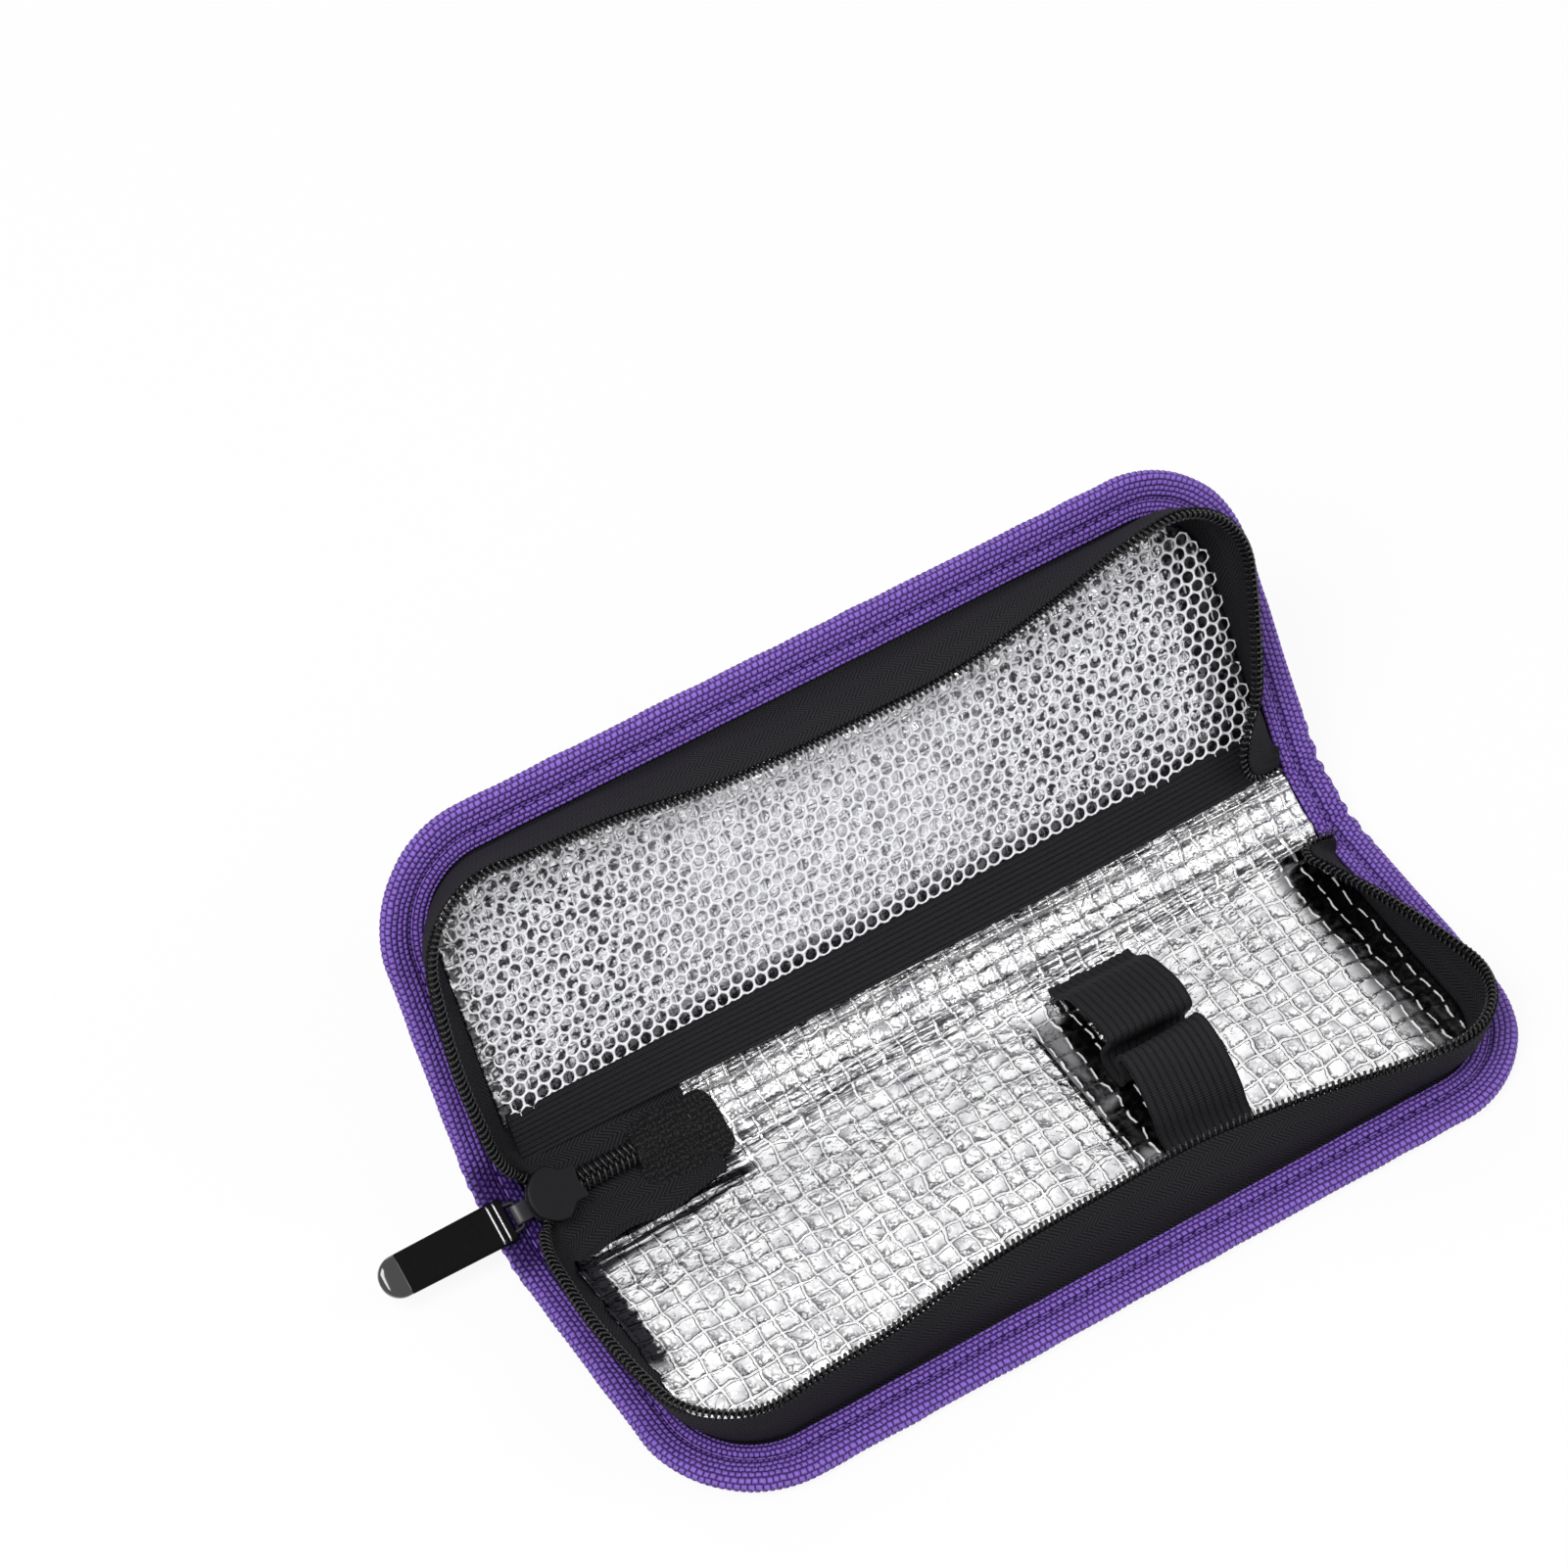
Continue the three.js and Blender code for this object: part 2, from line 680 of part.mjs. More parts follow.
function tailTape() {
  const drop = Array.from({ length: stepsAcrossDrop + 1 }, (_, step) => (
    THREE.MathUtils.lerp(tailDropStart, tailDropEnd, step / stepsAcrossDrop)
  ));
  const half = tailTapeWidth / 2;
  const top = (along) => tailHeight(along) + tailTapeThickness;
  const strip = tailStrip([tailStart, ...drop, tailEnd], -half, half, tailHeight, top);
  const slit = block(
    new THREE.Vector3(spineLeft + tailStart - cutOverrun, tailCentre - tailSlit / 2, 0),
    new THREE.Vector3(spineLeft + tailStart + tailSlitEnd, tailCentre + tailSlit / 2, tailLift + cutOverrun),
  );
  return cut(strip, slit);
}

// One row of the tail's coil, on one side of the slit
function tailCoil(side) {
  const end = endCoverStart - gap;
  const teeth = Math.round((end - tailStart) / tailCoilPitch);
  const near = tailSlit / 2;
  const rings = Array.from({ length: 2 * teeth + 1 }, (_, step) => {
    const along = THREE.MathUtils.lerp(tailStart, end, step / (2 * teeth));
    const bottom = tailHeight(along) + tailTapeThickness + gap;
    const full = step % 2 === 1;
    const top = bottom + tailCoilThickness * (full ? 1 : toothRootHeightShare);
    const far = near + tailCoilWidth * (full ? 1 : toothRootWidthShare);
    const section = [[near, bottom], [far, bottom], [far, top], [near, top]]
      .map(([y, z]) => new THREE.Vector2(side * y, z));
    return {
      flat: section,
      points: section.map((point) => new THREE.Vector3(spineLeft + along, tailCentre + point.x, point.y)),
    };
  });
  return loft(rings);
}

// A rounded rectangle centred on a point
function roundedShape(x, y, length, width, radius) {
  const shape = new THREE.Shape();
  const right = x + length / 2 - radius;
  const left = x - length / 2 + radius;
  const top = y + width / 2 - radius;
  const bottom = y - width / 2 + radius;
  shape.absarc(right, top, radius, 0, Math.PI / 2, false);
  shape.absarc(left, top, radius, Math.PI / 2, Math.PI, false);
  shape.absarc(left, bottom, radius, Math.PI, 1.5 * Math.PI, false);
  shape.absarc(right, bottom, radius, 1.5 * Math.PI, 2 * Math.PI, false);
  return shape;
}

// The velvety patch over the end of the tail, hollowed underneath where the tape runs
function tailEndCover() {
  const x = spineLeft + endCoverStart + endCoverLength / 2;
  const top = tailTapeThickness + 2 * gap + endCoverThickness;
  const patch = slab(roundedShape(x, tailCentre, endCoverLength, endCoverWidth, endCoverRadius), gap, top);
  const half = tailTapeWidth / 2 + gap;
  const tunnel = block(
    new THREE.Vector3(spineLeft + endCoverStart - cutOverrun, tailCentre - half, -cutOverrun),
    new THREE.Vector3(spineLeft + tailEnd + gap, tailCentre + half, top - endCoverThickness),
  );
  return cut(patch, tunnel);
}

// Slider plate: eight-sided with rounded corners and blunt ends
function sliderPlateShape(length, width) {
  const nose = spineLeft + sliderNose;
  const half = width / 2;
  const blunt = half * sliderNoseShare;
  const cheek = length * sliderCheekShare;
  const end = nose + length;
  const corners = [
    [nose, -blunt], [nose + cheek, -half], [end - cheek, -half], [end, -blunt],
    [end, blunt], [end - cheek, half], [nose + cheek, half], [nose, blunt],
  ].map(([x, y]) => new THREE.Vector2(x, tailCentre + y));
  return roundedPolygon(corners, sliderCorner);
}

// A polygon whose corners are eased by curves that start a set distance from each corner
function roundedPolygon(corners, radius) {
  const shape = new THREE.Shape();
  corners.forEach((corner, index) => {
    const before = corners[(index + corners.length - 1) % corners.length];
    const after = corners[(index + 1) % corners.length];
    const start = corner.clone().add(before.clone().sub(corner).setLength(radius));
    const end = corner.clone().add(after.clone().sub(corner).setLength(radius));
    if (index === 0) {
      shape.moveTo(start.x, start.y);
    } else {
      shape.lineTo(start.x, start.y);
    }
    shape.quadraticCurveTo(corner.x, corner.y, end.x, end.y);
  });
  return shape;
}

// Heights of the slider and of the link in its lug
const lowPlateTop = tailLift - gap;
const lowPlateBottom = lowPlateTop - sliderPlate;
const topPlateBottom = coilBase + tailCoilThickness + gap;
const topPlateTop = topPlateBottom + sliderPlate;
const lugBottom = gap;
const linkHeight = (lugBottom + lowPlateTop) / 2;
const lugLeft = spineLeft + sliderNose - lugLength;
const linkX = lugLeft + lugLength / 2 - gap;

function sliderBody() {
  const nose = spineLeft + sliderNose;
  const flangeInner = tailSlit / 2 + tailCoilWidth + gap;
  const spanY = (half) => [tailCentre - half, tailCentre + half];
  const [lugNear, lugFar] = spanY(lugWidth / 2);
  const lug = block(
    new THREE.Vector3(lugLeft, lugNear, lugBottom),
    new THREE.Vector3(nose + lugOverlap, lugFar, lowPlateTop),
  );
  const eyeHalf = linkWire / 2 + linkPlay;
  const eye = block(
    new THREE.Vector3(linkX - eyeHalf, lugNear - cutOverrun, linkHeight - eyeHalf),
    new THREE.Vector3(linkX + eyeHalf, lugFar + cutOverrun, linkHeight + eyeHalf),
  );
  const wedge = new THREE.Shape([
    new THREE.Vector2(nose + wedgeSetback, tailCentre),
    new THREE.Vector2(nose + wedgeSetback + wedgeLength / 2, tailCentre - wedgeWidth / 2),
    new THREE.Vector2(nose + wedgeSetback + wedgeLength, tailCentre),
    new THREE.Vector2(nose + wedgeSetback + wedgeLength / 2, tailCentre + wedgeWidth / 2),
  ]);
  const flange = (side) => {
    const [near, far] = [side * flangeInner, side * (flangeInner + flangeThickness)].sort((a, b) => a - b);
    const end = nose + sliderLength - wedgeSetback;
    return block(
      new THREE.Vector3(end - flangeLength, tailCentre + near, coilBase),
      new THREE.Vector3(end, tailCentre + far, topPlateTop - gap),
    );
  };
  const body = joined(
    slab(sliderPlateShape(sliderLength, sliderWidth), topPlateBottom, topPlateTop),
    slab(sliderPlateShape(sliderLength, sliderWidth - 2 * gap), lowPlateBottom, lowPlateTop),
    slab(wedge, lowPlateTop - gap, topPlateBottom + gap),
    flange(1),
    flange(-1),
    lug,
  );
  return cut(body, eye);
}

// Link: a closed wire frame through the lug and into the tab, grown by a clearance for its seat
function linkFrame(grown = 0) {
  const low = linkHeight - linkWire / 2 - grown;
  const high = linkHeight + linkWire / 2 + grown;
  const left = linkX - tabRootGap - linkArm - ridgeSetback;
  const half = linkInside / 2 + linkArm;
  const outside = block(
    new THREE.Vector3(left - linkWire / 2 - grown, tailCentre - half - grown, low),
    new THREE.Vector3(linkX + linkWire / 2 + grown, tailCentre + half + grown, high),
  );
  const inside = block(
    new THREE.Vector3(left + linkWire / 2 + grown, tailCentre - linkInside / 2 + grown, low - cutOverrun),
    new THREE.Vector3(linkX - linkWire / 2 - grown, tailCentre + linkInside / 2 - grown, high + cutOverrun),
  );
  return cut(outside, inside);
}

// Tab: a long moulded tongue with a crowned round tip and two ridges across its root
function pullTab() {
  const root = linkX - tabRootGap;
  const tipRadius = tabTipWidth / 2;
  const tip = root - tabLength;
  const shape = new THREE.Shape();
  shape.moveTo(root, tailCentre - tabWidth / 2);
  shape.lineTo(root, tailCentre + tabWidth / 2);
  shape.lineTo(tip + tipRadius, tailCentre + tipRadius);
  shape.absarc(tip + tipRadius, tailCentre, tipRadius, Math.PI / 2, 1.5 * Math.PI, false);
  const bottom = linkHeight - tabThickness / 2;
  const top = linkHeight + tabThickness / 2;
  const crown = new THREE.SphereGeometry(tipRadius, 4 * arcSteps, 2 * arcSteps)
    .scale(1, 1, (tabThickness / 2 + tabTipCrown) / tipRadius)
    .translate(tip + tipRadius, tailCentre, linkHeight);
  const ridge = (order) => {
    const x = root - ridgeSetback - order * ridgeSpacing;
    const half = tabWidth / 2 - gap;
    return block(
      new THREE.Vector3(x - ridgeWidth, tailCentre - half, linkHeight),
      new THREE.Vector3(x, tailCentre + half, top + ridgeHeight),
    );
  };
  const tongue = joined(slab(shape, bottom, top), crown, ridge(0), ridge(1));
  return cut(tongue, linkFrame(linkPlay));
}

// Assembly: the base, the spine hinged to it, the lid hinged to the spine, and the slider
function piece(name, geometry, material) {
  const mesh = new THREE.Mesh(geometry, material);
  mesh.name = name;
  return mesh;
}

function panelPieces(side) {
  return [
    piece(`${side}_cover`, coverOf(panelShape), wovenPurple),
    piece(`${side}_foam`, foamOf(panelShape), foamGrey),
    piece(`${side}_lining`, liningOf(panelShape, liningInset), foilSilver),
    piece(`${side}_binding`, panelBinding(), webbingPurple),
    piece(`${side}_zipper_tape`, zipTape(), tapeBlack),
    piece(`${side}_zipper_coil`, zipCoil(), coilBlack),
  ];
}

const baseHalf = new THREE.Group();
baseHalf.scale.y = -1;
baseHalf.add(...panelPieces('base'), piece('pen_loops', penLoops(), elasticBlack));

const lidHalf = new THREE.Group();
lidHalf.position.y = spineWidth;
lidHalf.rotation.x = THREE.MathUtils.degToRad(openTurn);
lidHalf.add(
  ...panelPieces('lid'),
  piece('mesh_pocket', meshPocket(), meshWhite),
  piece('pocket_elastic', pocketElastic(), elasticBlack),
);

const pull = new THREE.Group();
pull.add(piece('pull_link', linkFrame(), linkSteel), piece('pull_tab', pullTab(), pullBlack));

const spine = new THREE.Group();
spine.rotation.x = THREE.MathUtils.degToRad(openTurn);
spine.add(
  piece('spine_cover', coverOf(spineShape), wovenPurple),
  piece('spine_foam', foamOf(spineShape), foamGrey),
  piece('spine_lining', liningOf(spineShape, tapeFoot), foilSilver),
  piece('spine_binding_left', spineBinding(-1), webbingPurple),
  piece('spine_binding_right', spineBinding(1), webbingPurple),
  piece('tail_tape', tailTape(), tapeBlack),
  piece('tail_coil_front', tailCoil(-1), coilBlack),
  piece('tail_coil_back', tailCoil(1), coilBlack),
  piece('tail_end_cover', tailEndCover(), velvetBlack),
  piece('slider_body', sliderBody(), sliderGrey),
  pull,
  lidHalf,
);

const coolingCase = new THREE.Group();
coolingCase.position.set(0, panelDepth / 2, panelThickness);
coolingCase.add(baseHalf, spine);

export default coolingCase;
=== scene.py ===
"""The looks of a soft zipped cooling case for insulin pens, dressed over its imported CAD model.

Shapes are worked out in millimetres on each panel: x along the case, away from the crease, and
height above the lining. The function folded() puts such places into the model's frame in metres.
"""

import json
from functools import partialmethod

import bmesh
import bpy
import numpy as np
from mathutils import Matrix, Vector

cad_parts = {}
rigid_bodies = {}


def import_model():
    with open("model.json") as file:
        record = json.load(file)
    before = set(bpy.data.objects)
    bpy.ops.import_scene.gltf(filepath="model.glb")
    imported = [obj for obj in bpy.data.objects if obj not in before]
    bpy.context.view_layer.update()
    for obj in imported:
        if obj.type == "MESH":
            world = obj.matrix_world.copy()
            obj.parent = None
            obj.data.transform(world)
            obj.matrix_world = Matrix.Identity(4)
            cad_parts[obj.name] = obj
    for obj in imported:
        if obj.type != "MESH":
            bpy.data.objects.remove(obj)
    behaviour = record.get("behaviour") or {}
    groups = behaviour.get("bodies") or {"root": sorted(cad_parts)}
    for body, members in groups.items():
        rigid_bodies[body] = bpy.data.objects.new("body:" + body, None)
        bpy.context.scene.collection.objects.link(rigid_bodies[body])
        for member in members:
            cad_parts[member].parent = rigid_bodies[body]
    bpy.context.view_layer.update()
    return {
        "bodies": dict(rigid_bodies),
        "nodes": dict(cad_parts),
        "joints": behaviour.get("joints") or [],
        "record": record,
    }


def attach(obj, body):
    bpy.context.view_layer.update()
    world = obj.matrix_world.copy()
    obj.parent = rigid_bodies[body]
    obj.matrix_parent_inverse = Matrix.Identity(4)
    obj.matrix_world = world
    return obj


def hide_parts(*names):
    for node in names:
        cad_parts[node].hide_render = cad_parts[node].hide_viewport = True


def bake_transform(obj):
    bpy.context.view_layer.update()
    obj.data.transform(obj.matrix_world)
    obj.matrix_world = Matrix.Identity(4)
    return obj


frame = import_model()

# Studio. The case lies on a pale floor under three soft lamps, seen from its front left corner and
# well above. The surround is white to the eye and in reflections, and dimmer as a light.
aim = Vector((0.007885, 0.1108, 0.0042))
azimuth, elevation, camera_distance = np.radians(-32.881), np.radians(51.409), 1.3595
toward_camera = Vector((
    np.sin(azimuth) * np.cos(elevation),
    -np.cos(azimuth) * np.cos(elevation),
    np.sin(elevation),
))


def placed(name, data):
    """Puts a new object with this data into the scene."""
    thing = bpy.data.objects.new(name, data)
    bpy.context.scene.collection.objects.link(thing)
    return thing


camera_data = bpy.data.cameras.new("camera")
camera_data.lens = 146.16
camera = placed("camera", camera_data)
camera.location = aim + toward_camera * camera_distance
camera.rotation_euler = (-toward_camera).to_track_quat("-Z", "Y").to_euler()
bpy.context.scene.camera = camera
bpy.context.scene.view_settings.view_transform = "Standard"


class Signal:
    """A value that varies over a surface. Arithmetic on it adds Math nodes beside its own."""

    def __init__(self, nodes, socket):
        self.nodes = nodes
        self.socket = socket

    def math(self, operation, *others):
        """A Math node on this value and the others after it."""
        values = dict(enumerate((self, *others)))
        return self.nodes.node("ShaderNodeMath", {"operation": operation}, values)

    __add__ = __radd__ = partialmethod(math, "ADD")
    __sub__ = partialmethod(math, "SUBTRACT")
    __mul__ = __rmul__ = partialmethod(math, "MULTIPLY")
    __truediv__ = partialmethod(math, "DIVIDE")
    __mod__ = partialmethod(math, "FLOORED_MODULO")
    __pow__ = partialmethod(math, "POWER")
    __gt__ = partialmethod(math, "GREATER_THAN")
    __abs__ = partialmethod(math, "ABSOLUTE")
    floor = partialmethod(math, "FLOOR")
    sine = partialmethod(math, "SINE")
    most = partialmethod(math, "MAXIMUM")

    def __rsub__(self, other):
        return self * -1 + other

    def ramp(self, low, high, dark=0.0, light=1.0):
        """Runs smoothly from dark to light while this value goes from low to high."""
        settings = {"interpolation_type": "SMOOTHSTEP"}
        limits = {"Value": self, "From Min": low, "From Max": high, "To Min": dark, "To Max": light}
        return self.nodes.node("ShaderNodeMapRange", settings, limits)

    def fade(self, low, high):
        """Runs smoothly from one to nought while this value goes from low to high."""
        return self.ramp(low, high, 1.0, 0.0)


class Nodes:
    """The nodes of a material or of the surround."""

    def __init__(self, tree):
        self.tree = tree

    def node(self, kind, settings, values, output=0):
        """Adds a node: its settings first, then the values or links of its sockets."""
        made = self.tree.nodes.new(kind)
        for name, value in settings.items():
            setattr(made, name, value)
        for name, value in values.items():
            if isinstance(value, Signal):
                self.tree.links.new(value.socket, made.inputs[name])
            else:
                made.inputs[name].default_value = value
        return Signal(self, made.outputs[output])

    def lit_apart(self, share, gathered, seen, end):
        """Shows one shader to light that is gathered, and a share of another to what is seen."""
        looks = self.node("ShaderNodeLightPath", {}, {}, "Is Camera Ray")
        for ray in ("Is Glossy Ray", "Is Transmission Ray"):
            looks = looks.most(self.node("ShaderNodeLightPath", {}, {}, ray))
        either = self.node("ShaderNodeMixShader", {}, {0: looks * share, 1: gathered, 2: seen})
        self.tree.links.new(either.socket, self.tree.nodes[end].inputs["Surface"])


class Finish(Nodes):
    """A material with its nodes. Constants go on the shader's own sockets."""

    def __init__(self, name, **constants):
        self.material = bpy.data.materials.new(name)
        self.material.use_nodes = True
        super().__init__(self.material.node_tree)
        self.shader = self.tree.nodes["Principled BSDF"]
        for socket, value in constants.items():
            self.shader.inputs[socket.replace("_", " ")].default_value = value

    def cloth(self):
        """The place on the laid-out cloth in millimetres: as a vector, along and across."""
        place = self.node("ShaderNodeUVMap", {"uv_map": "cloth"}, {})
        return place, *self.parts(place, 2)

    def parts(self, vector, count=3):
        return [self.node("ShaderNodeSeparateXYZ", {}, {0: vector}, side) for side in range(count)]

    def vector(self, x, y, z=0.0):
        return self.node("ShaderNodeCombineXYZ", {}, {0: x, 1: y, 2: z})

    def noise(self, place, scale, detail=2.0):
        return self.node("ShaderNodeTexNoise", {}, {"Vector": place, "Scale": scale, "Detail": detail})

    def blend(self, share, first, second):
        """Mixes two colours by a share."""
        colours = {"Factor": share}
        for index, colour in ((6, first), (7, second)):
            colours[index] = colour if isinstance(colour, Signal) else (*colour, 1.0)
        return self.node("ShaderNodeMix", {"data_type": "RGBA"}, colours, 2)

    def colour(self, share, dark, light):
        """Colours the surface by a share between two colours."""
        self.feed(Base_Color=self.blend(share, dark, light))

    def feed(self, **signals):
        """Links signals to the shader's sockets, named with underscores for blanks."""
        for name, signal in signals.items():
            self.tree.links.new(signal.socket, self.shader.inputs[name.replace("_", " ")])

    def relief(self, height, depth):
        """Bumps the surface by a height from nought to one, times a depth in metres."""
        self.feed(Normal=self.node("ShaderNodeBump", {}, {"Height": height, "Distance": depth}))

    def speckle(self, scale, detail, dark, light, depth=0.0):
        """Colours and bumps the whole surface by one noise."""
        speckle = self.noise(self.cloth()[0], scale, detail)
        self.colour(speckle, dark, light)
        if depth:
            self.relief(speckle, depth)


sky = bpy.data.worlds.new("surround")
sky.use_nodes = True
bpy.context.scene.world = sky
sky_nodes = Nodes(sky.node_tree)
white = (1, 1, 1, 1)
sky_light, sky_look = (
    sky_nodes.node("ShaderNodeBackground", {}, {"Color": white, "Strength": strength})
    for strength in (0.5, 1.0)
)
sky_nodes.lit_apart(1.0, sky_light, sky_look, "World Output")

paper = Finish("studio_floor", Base_Color=(0.86, 0.86, 0.86, 1), Roughness=0.9)
glow = paper.node("ShaderNodeEmission", {}, {"Color": white})
paper.lit_apart(0.9, Signal(paper, paper.shader.outputs[0]), glow, "Material Output")
floor_mesh = bpy.data.meshes.new("studio_floor")
floor_height = -3e-4
floor_corners = [(x, y, floor_height) for x, y in ((-6, -6), (6, -6), (6, 6), (-6, 6))]
floor_mesh.from_pydata(floor_corners, [], [(0, 1, 2, 3)])
floor_mesh.materials.append(paper.material)
floor = placed("studio_floor", floor_mesh)

for lamp_name, place, size, power in (
    ("key_lamp", (-0.55, -0.15, 0.95), 0.45, 7.0),
    ("side_lamp", (0.75, -0.35, 0.6), 0.5, 2.0),
    ("back_lamp", (0.15, 1.0, 0.7), 0.5, 2.0),
):
    lamp_data = bpy.data.lights.new(lamp_name, "AREA")
    lamp_data.size = size
    lamp_data.energy = power
    lamp = placed(lamp_name, lamp_data)
    lamp.location = place
    lamp.rotation_euler = (aim - Vector(place)).to_track_quat("-Z", "Y").to_euler()

# Outer cover. One sheet of woven purple polyester wraps the back of the base, the narrow spine and
# the back of the lid. It is drawn tight over the padding by the binding that is sewn round it.
case_length = 210.0
panel_depth = 75.0
spine_width = 16.0
corner_radius = 26.0
panel_thickness = 4.2
open_turn = np.radians(27.5)
half_length = case_length / 2
side_run = panel_depth - corner_radius
arc_run = corner_radius * np.pi / 2
front_run = case_length - 2 * corner_radius
edge_run = 2 * side_run + 2 * arc_run + front_run
mid_spine = spine_width / 2
base_crease = np.array([panel_depth / 2, panel_thickness])
spine_way = np.array([np.cos(open_turn), np.sin(open_turn)])
lid_crease = base_crease + spine_width * spine_way
lid_way = np.array([np.cos(2 * open_turn), np.sin(2 * open_turn)])
halves = {
    "base": (base_crease, np.array([-1.0, 0.0]), spine_way, -1),
    "lid": (lid_crease, lid_way, -spine_way, 1),
}


def together(*parts):
    """Numbers and arrays whose shapes fit each other, stacked along a new last axis."""
    return np.stack(np.broadcast_arrays(*parts), axis=-1)


def unit(vectors):
    """Vectors divided by their lengths."""
    return vectors / np.linalg.norm(vectors, axis=-1, keepdims=True)


def folded(half, x, away, height, ease=2.0):
    """Puts places on a half of the open case into the model's frame, in metres.

    Away is measured from the crease, positive on the panel and negative on the spine. The line
    across the crease is a hyperbola that runs into both straight lines: it takes half of
    root(away squared + ease squared) plus away along the panel, and half of that root less away
    along the spine. Heights stand square to that line.
    """
    crease, panel_way, back_way, sign = halves[half]
    x, away, height = np.broadcast_arrays(*(np.asarray(part, float) for part in (x, away, height)))
    root = np.sqrt(away**2 + ease**2)
    on_panel = ((root + away) / 2)[..., None]
    on_spine = ((root - away) / 2)[..., None]
    line = crease + on_panel * panel_way + on_spine * back_way
    slope = (away / root)[..., None]
    way = unit(panel_way * (1 + slope) / 2 - back_way * (1 - slope) / 2)
    up = sign * together(-way[..., 1], way[..., 0])
    place = line + height[..., None] * up
    return np.concatenate([x[..., None], place], axis=-1) / 1000


def bend_with(piece):
    """Bakes a finished piece's placement into its mesh; its points already run over the crease."""
    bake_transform(piece)


def edge_line(distance):
    """Places on a panel's edge and the direction inwards, for distances round it.

    The distance starts at the left end of the crease. The line is straight, turns a quarter
    circle, runs along the front, turns again and comes back. Beyond its ends it goes on along
    the end of the spine.
    """
    first = np.clip((distance - side_run) / corner_radius, 0, np.pi / 2)
    second = np.clip((distance - side_run - arc_run - front_run) / corner_radius, 0, np.pi / 2)
    along_front = np.clip(distance - side_run - arc_run, 0, front_run)
    x = corner_radius * (1 - np.cos(first) + np.sin(second)) + along_front - half_length
    away = np.minimum(distance, side_run) + corner_radius * (np.sin(first) - 1 + np.cos(second))
    away = away - np.maximum(distance - (edge_run - side_run), 0)
    turn = first + second
    return x, away, np.cos(turn), -np.sin(turn)


def inset_at(x, away):
    """How far a place is inside the panel's edge, up to the corner radius."""
    over_side = np.maximum(np.abs(x) - (half_length - corner_radius), 0)
    over_front = np.maximum(away - side_run, 0)
    return corner_radius - np.hypot(over_side, over_front)


def panel_grid(inset, step):
    """A grid over half of the open case, out to an inset from its edge.

    Rows go from the middle of the spine to the front edge, evenly up to the corners and then
    evenly round their arc. A row is as wide as the outline is there, and its columns are even.
    """
    straight = np.linspace(-mid_spine, side_run, int((side_run + mid_spine) / step) + 1)
    turn = np.linspace(0, np.pi / 2, int((corner_radius - inset) * np.pi / 2 / step) + 1)[1:]
    radius = corner_radius - inset
    away = np.concatenate([straight, side_run + radius * np.sin(turn)])
    straight_width = np.full(len(straight), half_length - inset)
    width = np.concatenate([straight_width, half_length - corner_radius + radius * np.cos(turn)])
    share = np.linspace(-1, 1, int(2 * (half_length - inset) / step) + 1)
    return width[:, None] * share, np.repeat(away[:, None], len(share), axis=1)


def gone(value, start, end):
    """How much of the way from start to end a value has gone, from nought to one."""
    return np.clip((value - start) / (end - start), 0, 1)


def rumple(x, y, size_x, size_y, seed):
    """Smooth noise from minus one to one: random heights on a grid, eased in between."""
    field = np.random.default_rng(seed).uniform(-1, 1, (128, 128))
    u, v = np.broadcast_arrays(x / size_x + 64.37, y / size_y + 64.71)
    column, row = np.floor(u).astype(int), np.floor(v).astype(int)
    ease_x, ease_y = ((part * part * (3 - 2 * part)) for part in (u - column, v - row))
    corner = [[field[(row + j) % 128, (column + i) % 128] for i in (0, 1)] for j in (0, 1)]
    low = corner[0][0] + (corner[0][1] - corner[0][0]) * ease_x
    high = corner[1][0] + (corner[1][1] - corner[1][0]) * ease_x
    return low + (high - low) * ease_y


def grid_faces(rows, columns, ring=False):
    """Four corner numbers for every face of a grid. A ring joins its last column to its first."""
    wide = columns if ring else columns - 1
    row, column = np.meshgrid(np.arange(rows - 1), np.arange(wide), indexing="ij")
    beside = (column + 1) % columns
    corners = (row, column), (row + 1, column), (row + 1, beside), (row, beside)
    return np.stack([(r * columns + c).ravel() for r, c in corners], axis=1)


def make_piece(name, points, faces, laid, finish, smooth=None):
    """Puts arrays of points and four-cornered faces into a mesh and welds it.

    The faces are turned over where the closed skin's volume comes out negative. Laid holds each
    face corner's place on the laid-out cloth in millimetres. Smooth tells which faces are shaded
    as one curved surface: all of them where it is left out.
    """
    corner = points[faces]
    spans = np.cross(corner[:, 1], corner[:, 2]) + np.cross(corner[:, 2], corner[:, 3])
    if np.einsum("ij,ij->", corner[:, 0], spans) < 0:
        faces, laid = faces[:, ::-1], laid[:, ::-1]
    mesh = bpy.data.meshes.new(name)
    mesh.from_pydata(points.tolist(), [], faces.tolist())
    mesh.uv_layers.new(name="cloth").data.foreach_set("uv", laid.astype(np.float32).ravel())
    mesh.polygons.foreach_set("use_smooth", np.ones(len(faces), bool) if smooth is None else smooth)
    skin = bmesh.new()
    skin.from_mesh(mesh)
    bmesh.ops.remove_doubles(skin, verts=skin.verts, dist=1e-7)
    skin.to_mesh(mesh)
    skin.free()
    mesh.materials.append(finish.material)
    piece = placed(name, mesh)
    return piece


